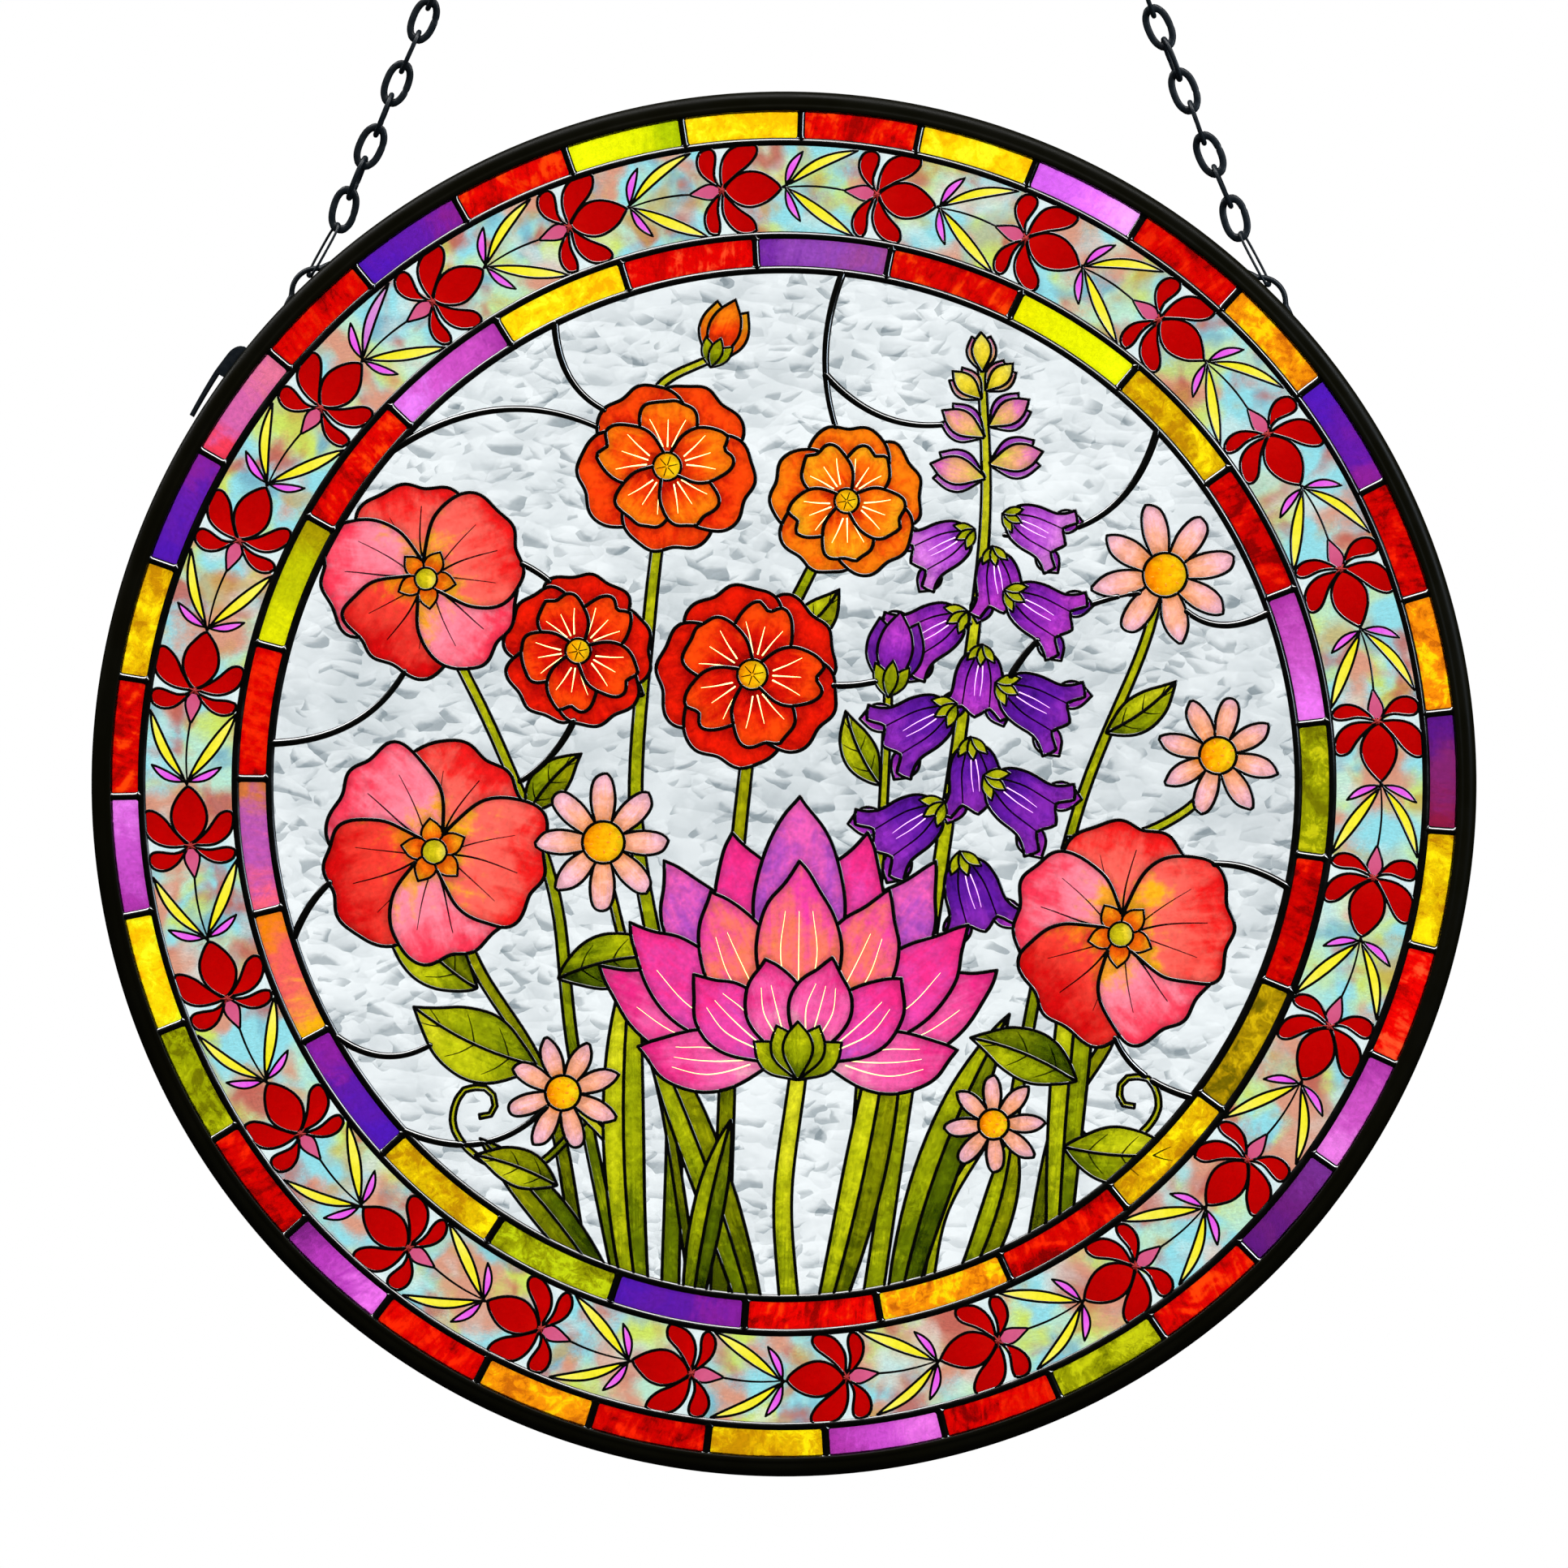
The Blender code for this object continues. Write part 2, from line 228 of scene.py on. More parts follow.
def streaky_block():
    """Streaky cathedral glass of the border blocks. Some grade from end to end, the others are mottled like embers."""
    n = Nodes("streaky_block_colour", Roughness=0.08, Transmission_Weight=1.0, IOR=1.45)
    local = n.add("ShaderNodeSeparateXYZ")
    n.wire(n.attribute("local", "Vector"), local.inputs[0])
    u, v, seed = local.outputs  # u runs along the block in millimetres, v across it
    block = n.add("ShaderNodeSeparateXYZ")
    n.wire(n.attribute("block", "Vector"), block.inputs[0])
    share, edge, grade = block.outputs
    at = n.add("ShaderNodeCombineXYZ")
    n.wire(u, at.inputs[0])
    n.wire(v, at.inputs[1])
    n.wire(n.math("MULTIPLY", seed, 90.0), at.inputs[2])
    at = at.outputs[0]
    cloud = n.noise(at, 0.15, 3, 0.55, 0.8)
    blot = n.noise(at, 0.42, 4, 0.65, 1.2)
    slanted = n.add("ShaderNodeMapping")
    slanted.inputs["Rotation"].default_value = (0, 0, math.radians(12))
    n.wire(at, slanted.inputs["Vector"])
    streak = n.noise(n.vector("MULTIPLY", slanted.outputs[0], (0.85, 0.16, 1.0)), 1.0, 3, 0.55, 0.6)
    ember = n.math("ADD", n.math("MULTIPLY", cloud, n.ramp(grade, -1.0, 0.0, 1.7, 1.4)), n.math("MULTIPLY", blot, n.ramp(grade, -1.0, 0.0, 1.1, 0.55)))
    ember = n.math("ADD", ember, n.math("MULTIPLY", streak, n.ramp(grade, -1.0, 0.0, 0.1, 0.7)))
    ember = n.ramp(ember, n.ramp(grade, -1.0, 0.0, 1.18, 1.04), n.ramp(grade, -1.0, 0.0, 1.72, 1.66), smooth=False)
    graded = n.math("MAXIMUM", grade, 0.0)
    soft = n.math("ADD", share, n.math("MULTIPLY", n.math("SUBTRACT", cloud, 0.5), 0.9))
    soft = n.math("ADD", soft, n.math("MULTIPLY", n.math("SUBTRACT", streak, 0.5), 0.5))
    t = n.math("ADD", n.math("MULTIPLY", ember, n.math("SUBTRACT", 1.0, graded)), n.math("MULTIPLY", soft, graded))
    colour = n.mix(n.ramp(t, 0.0, 0.5), n.attribute("tint_a", "Color"), n.attribute("tint_b", "Color"))
    colour = n.mix(n.ramp(t, 0.5, 1.0), colour, n.attribute("tint_c", "Color"))
    fleck = n.ramp(n.noise(at, 1.5, 4, 0.75, 1.0), 0.68, 0.74)
    colour = n.mix(n.math("MULTIPLY", fleck, 0.55), colour, n.attribute("tint_c", "Color"))
    fine = n.noise(at, 1.1, 3, 0.6, 0.8)
    shade = n.ramp(fine, 0.25, 0.75, 0.84, 1.12, smooth=False)
    shade = n.math("MULTIPLY", shade, n.ramp(n.math("ADD", edge, n.math("MULTIPLY", blot, 0.9)), 0.4, 1.5, 0.84, 1.0))
    grey = n.add("ShaderNodeCombineColor")
    for i in range(3):
        n.wire(shade, grey.inputs[i])
    n.wire(n.mix(1.0, colour, grey.outputs[0], "MULTIPLY"), n.shader.inputs["Base Color"])
    n.bump(n.math("ADD", cloud, n.math("MULTIPLY", blot, 0.4)), 0.10, 0.0004)
    return n.material


def opal_ground():
    """The border's clouded ground: pale green, water blue, rose, tan and ochre that run into each other like watercolour."""
    n = Nodes("opal_ground_colour", Roughness=0.10, Transmission_Weight=1.0, IOR=1.45)
    at = n.place()
    brushed = n.place((0.8, 0.8, 2.2), (0, 24, 0))
    speck = n.noise(at, 1.2, 5, 0.8, 0.6)
    fine = n.noise(brushed, 1.6, 5, 0.8, 0.4)
    wobble = n.math("ADD", n.math("MULTIPLY", n.math("SUBTRACT", speck, 0.5), 0.10), n.math("MULTIPLY", n.math("SUBTRACT", fine, 0.5), 0.06))

    def cloud(shift, size, low, high, weight=1.0):
        field = n.noise(n.vector("ADD", at, shift), size, 2, 0.5, 0.35)
        out = n.ramp(n.math("ADD", field, wobble), low, high)
        return out if weight == 1.0 else n.math("MULTIPLY", out, weight)

    base = n.mix(cloud((0.0, 0.0, 0.0), 0.075, 0.40, 0.60), linear((186, 226, 204)), linear((204, 224, 100)))
    base = n.mix(cloud((44.0, -18.0, 61.0), 0.085, 0.48, 0.70, 0.8), base, linear((176, 182, 162)))
    base = n.mix(cloud((71.0, 13.0, 29.0), 0.080, 0.43, 0.57), base, linear((148, 218, 228)))
    base = n.mix(cloud((73.0, 14.0, 31.0), 0.10, 0.52, 0.68, 0.9), base, linear((118, 174, 194)))
    base = n.mix(cloud((-37.0, 5.0, 83.0), 0.082, 0.50, 0.645), base, linear((215, 154, 130)))
    base = n.mix(cloud((-38.0, 4.5, 84.0), 0.11, 0.505, 0.70, 0.90), base, linear((190, 96, 84)))
    base = n.mix(cloud((24.0, 51.0, -60.0), 0.10, 0.54, 0.70, 0.7), base, linear((196, 160, 70)))
    base = n.mix(cloud((9.0, 77.0, -45.0), 0.09, 0.54, 0.72, 0.6), base, linear((220, 232, 226)))
    sand = n.noise(n.place((1.0, 1.0, 1.6), (0, 18, 0)), 3.4, 3, 0.8)
    base = n.mix(n.math("MULTIPLY", n.ramp(sand, 0.56, 0.66), n.ramp(speck, 0.42, 0.60, 0.05, 0.42)), base, linear((170, 128, 96)))
    shade = n.ramp(fine, 0.28, 0.72, 0.80, 1.10, smooth=False)
    shade = n.math("MULTIPLY", shade, n.ramp(sand, 0.3, 0.7, 0.88, 1.08))
    dirt = n.ramp(speck, 0.58, 0.76, 1.0, 0.84)
    shade = n.math("MULTIPLY", shade, dirt)
    grey = n.add("ShaderNodeCombineColor")
    for i in range(3):
        n.wire(shade, grey.inputs[i])
    n.wire(n.mix(1.0, base, grey.outputs[0], "MULTIPLY"), n.shader.inputs["Base Color"])
    n.bump(n.math("ADD", speck, n.math("MULTIPLY", fine, 0.4)), 0.08, 0.0003)
    return n.material


def clear_panel():
    """The panel itself: nearly colourless float glass."""
    n = Nodes("clear_panel_glass", Roughness=0.02, Transmission_Weight=1.0, IOR=1.5)
    at = n.place((0.06, 0.06, 0.06))
    n.wire(n.mix(n.noise(at, 1.0, 2), linear((249, 252, 252)), linear((253, 254, 254))), n.shader.inputs["Base Color"])
    n.wire(n.ramp(n.noise(at, 3.0, 3), 0.3, 0.7, 0.015, 0.04), n.shader.inputs["Roughness"])
    n.bump(n.noise(n.place((0.2, 0.2, 0.4)), 1.0, 2), 0.15, 0.0004)
    return n.material


def hammered_film():
    """Clear hammered ground, its shading painted into the colour: each small facet is painted grey towards one sharp
    edge, where it turns away from the light, and a little lighter on its other side.
    """
    n = Nodes("hammered_clear_ground", Roughness=0.05, Transmission_Weight=1.0, IOR=1.45)
    flat = n.add("ShaderNodeSeparateXYZ")
    n.wire(n.place(), flat.inputs[0])

    def painted_facet_shade(wide, tall, shift, lean, pick, low, high):
        joined = n.add("ShaderNodeCombineXYZ")
        n.wire(n.math("ADD", flat.outputs[0], n.math("MULTIPLY", flat.outputs[2], lean)), joined.inputs[0])
        n.wire(flat.outputs[2], joined.inputs[1])
        at = n.vector("ADD", joined.outputs[0], shift)
        at = n.vector("MULTIPLY", at, (1.0 / wide, 1.0 / tall, 1.0))
        bend = n.vector("SCALE", n.vector("SUBTRACT", n.noise(at, 1.3, 2, 0.5, 0.0, True), (0.5, 0.5, 0.5)), 0.42)
        at = n.vector("ADD", at, bend)
        cells = n.add("ShaderNodeTexVoronoi", voronoi_dimensions="2D", feature="SMOOTH_F1")
        cells.inputs["Scale"].default_value = 1.0
        cells.inputs["Smoothness"].default_value = 0.11
        n.wire(at, cells.inputs["Vector"])
        off = n.add("ShaderNodeSeparateXYZ")
        n.wire(n.vector("SUBTRACT", at, cells.outputs["Position"]), off.inputs[0])
        chance = n.add("ShaderNodeSeparateColor")
        n.wire(cells.outputs["Color"], chance.inputs[0])
        along = n.math("MULTIPLY", off.outputs[0], n.math("MULTIPLY_ADD", chance.outputs[0], 2.4, -1.2))
        down = n.math("MULTIPLY", off.outputs[1], n.math("MULTIPLY_ADD", chance.outputs[1], -0.9, -0.35))
        slope = n.math("ADD", along, down)
        # painted shade where the facet turns away from the light, less a painted highlight on its lit side
        dark = n.ramp(slope, low, high)
        painted_facet_highlight = n.ramp(slope, -0.42, -0.06, 0.16, 0.0)
        return n.math("MULTIPLY", n.math("SUBTRACT", dark, painted_facet_highlight), n.ramp(chance.outputs[2], pick, pick + 0.35))

    large = painted_facet_shade(4.7, 3.2, (3.0, 11.0, 0.0), 0.45, 0.40, 0.03, 0.44)
    small = painted_facet_shade(3.0, 2.2, (41.0, 7.0, 0.0), -0.55, 0.50, 0.04, 0.42)
    broad = painted_facet_shade(8.0, 4.4, (13.0, 71.0, 0.0), 0.2, 0.1, -0.3, 0.8)
    # broad patches of painted soft shade over the clear ground
    painted_mist_shade = n.noise(n.place((0.07, 0.07, 0.11)), 1.0, 4, 0.6)
    painted_sweep_shade = n.noise(n.place((0.016, 0.02, 0.024), (0, -14, 0)), 1.0, 2, 0.5)
    # a band of painted shade across the disc, darkest 12 mm above its centre
    middle = n.ramp(n.math("ABSOLUTE", n.math("SUBTRACT", flat.outputs[2], 12.0)), 4.0, 48.0, 0.155, 0.0)
    grey = n.math("MULTIPLY", large, 0.56)
    grey = n.math("ADD", grey, n.math("MULTIPLY", small, 0.46))
    grey = n.math("ADD", grey, n.math("MULTIPLY", broad, 0.20))
    grey = n.math("ADD", grey, n.ramp(painted_mist_shade, 0.32, 0.70, 0.0, 0.22))
    grey = n.math("ADD", grey, n.ramp(painted_sweep_shade, 0.35, 0.65, 0.0, 0.08))
    grey = n.math("ADD", grey, middle, clamp=True)
    # all the painted shade and highlight together grey the clear ground towards blue-grey
    colour = n.mix(grey, linear((231, 235, 237)), linear((138, 149, 155)))
    n.wire(colour, n.shader.inputs["Base Color"])
    n.wire(n.ramp(grey, 0.0, 1.0, 0.04, 0.08), n.shader.inputs["Roughness"])
    n.bump(grey, 0.2, 0.0005)
    return n.material


# ---------------------------------------------------------------- curves, in millimetres on the face of the disc


def unit(degrees):
    a = math.radians(degrees)
    return np.array([math.cos(a), math.sin(a)])


def catmull(points, closed=False, per=8):
    """A smooth curve through the points."""
    p = [np.array(q, float) for q in points]
    n = len(p)
    if closed:
        get = lambda i: p[i % n]
        spans = n
    else:
        get = lambda i: p[i] if 0 <= i < n else (2 * p[0] - p[1] if i < 0 else 2 * p[-1] - p[-2])
        spans = n - 1
    out = []
    for i in range(spans):
        a, b, c, d = get(i - 1), get(i), get(i + 1), get(i + 2)
        for k in range(per):
            t = k / per
            out.append(
                0.5
                * (
                    2 * b
                    + (c - a) * t
                    + (2 * a - 5 * b + 4 * c - d) * t * t
                    + (3 * b - a - 3 * c + d) * t**3
                )
            )
    if not closed:
        out.append(p[-1])
    return np.array(out)


def resample(points, step, closed=False):
    p = np.array(points, float)
    if closed:
        p = np.vstack([p, p[:1]])
    seg = np.hypot(*np.diff(p, axis=0).T)
    keep = np.concatenate([[True], seg > 1e-6])
    p = p[keep]
    seg = np.hypot(*np.diff(p, axis=0).T)
    s = np.concatenate([[0], np.cumsum(seg)])
    n = max(2, int(round(s[-1] / step)))
    t = np.linspace(0, s[-1], n + 1)
    q = np.column_stack([np.interp(t, s, p[:, 0]), np.interp(t, s, p[:, 1])])
    return q[:-1] if closed else q


def area(p):
    x, y = np.asarray(p).T
    return 0.5 * float(np.sum(x * np.roll(y, -1) - np.roll(x, -1) * y))


def bent(local, base, angle, length, width, bend=0.0):
    """Local points (along, across) laid on an arc that starts at base and turns by bend degrees over its length."""
    b = math.radians(bend)
    local = np.array(local, float)
    u, v = local[:, 0], local[:, 1] * width
    if abs(b) < 1e-3:
        x, y = u * length, np.zeros_like(u)
        nx, ny = np.zeros_like(u), np.ones_like(u)
    else:
        r = length / b
        x, y = r * np.sin(b * u), r * (1 - np.cos(b * u))
        nx, ny = -np.sin(b * u), np.cos(b * u)
    x, y = x + nx * v, y + ny * v
    a = math.radians(angle)
    ca, sa = math.cos(a), math.sin(a)
    return np.column_stack([base[0] + ca * x - sa * y, base[1] + sa * x + ca * y])


PROFILES = {  # (along, half across) from base to tip, and whether the tip is a point
    "round": ([(0, 0.05), (0.1, 0.15), (0.32, 0.36), (0.6, 0.5), (0.84, 0.41), (0.96, 0.2), (1.0, 0)], False),
    "broad": ([(0, 0.07), (0.12, 0.22), (0.32, 0.42), (0.58, 0.5), (0.82, 0.46), (0.95, 0.27), (1.0, 0)], False),
    "notched": ([(0, 0.07), (0.14, 0.24), (0.36, 0.44), (0.62, 0.5), (0.87, 0.43), (1.0, 0.2), (0.955, 0)], False),
    "point": ([(0, 0.05), (0.14, 0.2), (0.36, 0.43), (0.55, 0.5), (0.75, 0.39), (0.9, 0.17), (1.0, 0)], True),
    "leaf": ([(0, 0.02), (0.1, 0.2), (0.28, 0.43), (0.46, 0.5), (0.68, 0.4), (0.86, 0.18), (1.0, 0)], True),
    "blade": ([(0, 0.3), (0.2, 0.42), (0.45, 0.5), (0.68, 0.45), (0.85, 0.28), (0.95, 0.12), (1.0, 0)], True),
    "slim": ([(0, 0.03), (0.2, 0.3), (0.45, 0.5), (0.7, 0.43), (0.88, 0.2), (1.0, 0)], True),
    "paddle": ([(0, 0.16), (0.2, 0.2), (0.45, 0.34), (0.7, 0.5), (0.88, 0.42), (0.97, 0.2), (1.0, 0)], False),
    "drop": ([(0, 0.02), (0.12, 0.16), (0.4, 0.4), (0.66, 0.5), (0.88, 0.36), (0.97, 0.17), (1.0, 0)], False),
}


def petal_outline(kind, skew=0.0, ripple=0.0, waves=5, rng=None):
    half, pointed = PROFILES[kind]
    half = np.array(half, float)
    if pointed:
        one = catmull(half, per=8)
        left, right = one, one[:-1][::-1] * [1, -1]
        out = np.vstack([left, right])
    else:
        full = np.vstack([half, half[:-1][::-1] * [1, -1]])
        out = catmull(full, per=8)
    if ripple:
        phase = rng.uniform(0, math.tau) if rng else 0.0
        t = np.arctan2(out[:, 1] * 1.6, out[:, 0] - 0.35)
        fade = np.clip((out[:, 0] - 0.35) / 0.4, 0, 1)
        k = 1 + ripple * fade * np.sin(waves * t + phase)
        out = np.column_stack([0.35 + (out[:, 0] - 0.35) * k, out[:, 1] * k])
    out[:, 1] += skew * np.sin(np.pi * np.clip(out[:, 0], 0, 1)) * 0.5
    return out


# ---------------------------------------------------------------- colours, as seen against white light (0-255)

RED_DEEP = ((120, 2, 2), (186, 6, 4), (232, 26, 4))
RED = ((150, 2, 2), (216, 18, 4), (250, 72, 8))
RED_ORANGE = ((196, 10, 2), (238, 60, 6), (255, 128, 12))
ORANGE = ((222, 40, 2), (252, 104, 8), (255, 168, 22))
CORAL = ((255, 178, 30), (252, 104, 92), (232, 26, 26))
CORAL_PINK = ((255, 168, 44), (255, 136, 156), (244, 56, 84))
CORAL_RED = ((255, 140, 16), (240, 62, 50), (206, 10, 12))
PINK = ((252, 160, 190), (244, 96, 168), (226, 40, 128))
MAGENTA = ((206, 84, 190), (230, 70, 166), (236, 44, 132))
ROSE_VIOLET = ((122, 58, 188), (176, 78, 190), (230, 92, 176))
AMBER_PINK = ((255, 176, 10), (252, 122, 96), (232, 62, 156))
VIOLET = ((60, 12, 120), (94, 24, 156), (140, 44, 180))
PURPLE = ((84, 18, 140), (140, 38, 176), (196, 66, 206))
LILAC = ((128, 40, 176), (180, 74, 206), (222, 130, 226))
YELLOW_PINK = ((244, 226, 70), (240, 176, 120), (228, 112, 190))
YELLOW = ((206, 190, 20), (248, 222, 50), (252, 238, 110))
PALE = ((255, 146, 0), (255, 176, 140), (253, 190, 206))
HEART = ((255, 140, 0), (255, 176, 4), (255, 214, 20))
STEM = ((96, 112, 2), (150, 160, 6), (196, 196, 16))
GREEN = ((96, 112, 2), (146, 156, 6), (190, 194, 14))
GREEN_LIGHT = ((140, 150, 6), (188, 192, 14), (222, 218, 36))
GREEN_DARK = ((44, 58, 0), (82, 98, 2), (132, 140, 6))
OLIVE = ((74, 84, 0), (122, 128, 2), (170, 168, 8))
TONES = {"black": (4, 4, 3), "cream": (255, 236, 170), "lilac": (232, 170, 246), "amber": (232, 112, 0)}


class Art:
    """Overlapping shapes in painter's order, each with its own fill and its own strokes."""

    def __init__(self, seed):
        self.rng = random.Random(seed)
        self.shapes = []
        self.ground_lines = []
        self.eyes = []

    def shape(self, points, fill, base, tip, width, step=0.6, group="petals", line=0.75):
        p = np.array(points, float)
        if area(p) < 0:
            p = p[::-1]
        p = thin(p, step)
        base, tip = np.array(base, float), np.array(tip, float)
        s = dict(
            pts=p,
            fill=fill,
            base=base,
            axis=(tip - base) / max(1e-6, float(np.hypot(*(tip - base))) ** 2),
            side=np.array([-(tip - base)[1], (tip - base)[0]]) / max(1e-6, float(np.hypot(*(tip - base))) * width * 0.5),
            seed=self.rng.random(),
            strokes=[],
            group=group,
            line=line,
        )
        self.shapes.append(s)
        return s

    def stroke(self, s, points, w0, w1, tone="black"):
        s["strokes"].append(dict(pts=resample(points, 0.25), w0=w0, w1=w1, tone=tone))

    def stroke_on_ground(self, points, w0, w1, tone="black"):
        self.ground_lines.append(dict(pts=resample(points, 0.25), w0=w0, w1=w1, tone=tone))

    # ---- parts of plants

    def petal(self, kind, base, angle, length, width, fill, bend=0.0, skew=0.0, ripple=0.0, waves=5, group="petals", line=0.75):
        out = bent(petal_outline(kind, skew, ripple, waves, self.rng), base, angle, length, width, bend)
        tip = bent([(1, 0)], base, angle, length, width, bend)[0]
        return self.shape(out, fill, base, tip, width, group=group, line=line)

    def vein(self, s, base, angle, length, width, bend, line, w0, w1, tone="black"):
        self.stroke(s, bent(catmull(line, per=6), base, angle, length, width, bend), w0, w1, tone)

    def stem(self, points, w0, w1, fill=STEM):
        c = resample(catmull(points, per=10), 2.0)
        t = np.gradient(c, axis=0)
        t /= np.hypot(*t.T)[:, None]
        n = np.column_stack([-t[:, 1], t[:, 0]])
        w = np.linspace(w0, w1, len(c))[:, None] / 2
        out = np.vstack([c + n * w, (c - n * w)[::-1]])
        s = self.shape(out, fill, c[0], c[-1], max(w0, w1), step=1.2, group="leaves", line=0.62)
        return s

    def leaf(self, base, angle, length, width, bend=0.0, light=GREEN_LIGHT, dark=GREEN, kind="leaf", veins=3, skew=0.0):
        """A leaf of two halves, parted by its midrib."""
        half, pointed = PROFILES[kind]
        one = catmull(half, per=8)
        tip = bent([(1, 0)], base, angle, length, width, bend)[0]
        rib = np.column_stack([np.linspace(0, 1, 14), np.zeros(14)])
        for sign, fill in ((1, light), (-1, dark)):
            edge = one * [1, sign]
            if not pointed:
                edge = np.vstack([edge, [(1.0, 0)]])
            out = bent(np.vstack([rib, edge[::-1][1:]]), base, angle, length, width, bend)
            s = self.shape(out, fill, base, tip, width, group="leaves", line=0.66)
            for k in range(veins):
                u = 0.2 + 0.55 * k / max(1, veins - 1)
                reach = np.interp(u + 0.13, half_x(half), half_y(half)) * 0.78
                self.vein(
                    s, base, angle, length, width, bend,
                    [(u, 0), (u + 0.07, sign * reach * 0.55), (u + 0.15, sign * reach)], 0.34, 0.14,
                )

    def blade(self, base, angle, length, width, bend=0.0, light=GREEN_LIGHT, dark=GREEN, kind="blade", split=True):
        if split:
            self.leaf(base, angle, length, width, bend, light, dark, kind=kind, veins=0)
        else:
            self.petal(kind, base, angle, length, width, light, bend=bend, group="leaves", line=0.66)

    # ---- flowers

    def poppy(self, c, r, turn, inner, outer, petals=5, ripple=0.05):
        c = np.array(c, float)
        order = list(range(petals))
        for ring, fill, k in ((0, outer, 1.0), (1, inner, 0.78)):
            off = 0 if ring == 0 else 180.0 / petals
            for i in order:
                a = turn + off + 360.0 * i / petals + self.rng.uniform(-4, 4)
                length = r * k * self.rng.uniform(0.95, 1.04)
                width = length * (1.12 if ring == 0 else 0.86)
                s = self.petal("broad" if ring == 0 else "notched", c, a, length, width, fill, ripple=ripple, waves=6)
                for v in (-0.16, 0.0, 0.17):
                    self.vein(s, c, a, length, width, 0, [(0.3, v * 0.5), (0.52, v * 1.2), (0.7, v * 1.9)], 0.32, 0.12, "cream")
        eye = [c + unit(t) * r * 0.17 for t in range(0, 360, 30)]
        self.shape(catmull(eye, True, 3), HEART, c - [r * 0.17, 0], c + [r * 0.17, 0], r * 0.34, step=0.5, group="hearts", line=0.55)
        last = self.shapes[-1]
        for t in range(0, 360, 60):
            self.stroke(last, [c + unit(t + 12) * r * 0.02, c + unit(t + 12) * r * 0.12], 0.24, 0.18)

    def mallow(self, c, r, turn, squash=1.0, lean=0.0, fills=(CORAL, CORAL_PINK, CORAL_RED, CORAL_PINK, CORAL), petals=5):
        """A wide open bloom of broad overlapping petals with dark veins and an amber heart."""
        c = np.array(c, float)
        for i in range(petals):
            a = turn + 360.0 * i / petals
            d = unit(a)
            k = math.hypot(d[0], d[1] * squash)
            length = r * k * self.rng.uniform(0.96, 1.04)
            width = r * self.rng.uniform(1.12, 1.2) * (0.82 + 0.18 * k)
            bend = 14 if i % 2 else -10
            s = self.petal("broad", c, a, length, width, fills[i % len(fills)], bend=bend, skew=0.10, ripple=0.045, waves=7)
            self.vein(s, c, a, length, width, bend, [(0.1, 0.0), (0.4, 0.02), (0.78, 0.0)], 0.5, 0.2)
            for v in (-0.26, 0.27):
                self.vein(s, c, a, length, width, bend, [(0.14, v * 0.12), (0.38, v * 0.55), (0.66, v)], 0.36, 0.14)
        # heart with a stamen column
        for i in range(5):
            a = turn + 36 + 72 * i
            self.petal("point", c, a, r * 0.3, r * 0.2, ORANGE, group="hearts", line=0.5)
        eye = [c + unit(t) * r * 0.115 for t in range(0, 360, 36)]
        self.shape(catmull(eye, True, 3), YELLOW, c, c + [r * 0.12, 0], r * 0.24, step=0.5, group="hearts", line=0.5)

    def daisy(self, c, r, turn, n=8, fill=PALE, heart=HEART):
        c = np.array(c, float)
        for i in list(range(0, n, 2)) + list(range(1, n, 2)):
            a = turn + 360.0 * i / n + self.rng.uniform(-2, 2)
            length = r * self.rng.uniform(0.95, 1.03)
            s = self.petal("round", c, a, length, r * 2.75 / n * 1.05, fill, ripple=0.03, waves=4, group="pale", line=0.62)
        eye = [c + unit(t) * r * 0.31 for t in range(0, 360, 30)]
        self.shape(catmull(eye, True, 3), heart, c - [r * 0.3, 0], c + [r * 0.3, 0], r * 0.6, step=0.6, group="hearts", line=0.62)
        last = self.shapes[-1]
        for k in range(9):
            t, q = k * 137.5, r * 0.24 * math.sqrt((k + 0.5) / 9)
            d = c + unit(t) * q
            self.stroke(last, [d, d + unit(t) * 0.35], 0.34, 0.3, "amber")

    def bell(self, c, angle, length, width, fills=(PURPLE, VIOLET), stalk=None):
        """A hanging bell: calyx, cup and three flared lobes at its mouth."""
        c = np.array(c, float)
        cup = [(0.08, 0.1), (0.2, 0.3), (0.42, 0.4), (0.66, 0.42), (0.8, 0.5), (0.9, 0.62)]
        mouth = [(0.9, 0.62), (1.0, 0.44), (0.86, 0.24), (0.99, 0.0), (0.86, -0.24), (1.0, -0.44), (0.9, -0.62)]
        left = catmull(cup, per=6)
        right = (left * [1, -1])[::-1]
        local = np.vstack([left, catmull(mouth, per=5)[1:-1], right])
        tip = bent([(1, 0)], c, angle, length, width)[0]
        # back lobes first
        for v in (0.33, -0.33):
            base = bent([(0.62, v * 0.7)], c, angle, length, width)[0]
            self.petal("point", base, angle + math.copysign(26, v), length * 0.5, width * 0.42, fills[1], group="violet", line=0.62)
        s = self.shape(bent(local, c, angle, length, width), fills[0], c, tip, width, group="violet", line=0.68)
        for v in (-0.2, 0.2):
            self.vein(s, c, angle, length, width, 0, [(0.14, v * 0.4), (0.45, v), (0.84, v * 1.15)], 0.42, 0.28)
        for v in (-0.09, 0.1):
            self.vein(s, c, angle, length, width, 0, [(0.3, v * 0.4), (0.5, v * 0.6), (0.7, v * 0.5)], 0.24, 0.1, "lilac")
        for t in (-38, 0, 38):
            self.petal("slim", c, angle + t, length * 0.3, width * 0.16, GREEN_LIGHT, group="leaves", line=0.5)

    def bud(self, c, angle, length, width, fills, sepals=True):
        c = np.array(c, float)
        for t, f in ((15, fills[1]), (-15, fills[1]), (0, fills[0])):
            self.petal("point", c, angle + t, length * (0.92 if t else 1.0), width * 0.62, f, line=0.6)
        if sepals:
            for t in (28, -28, 0):
                self.petal("slim", c - unit(angle) * length * 0.06, angle + t, length * 0.45, width * 0.26, GREEN, group="leaves", line=0.5)

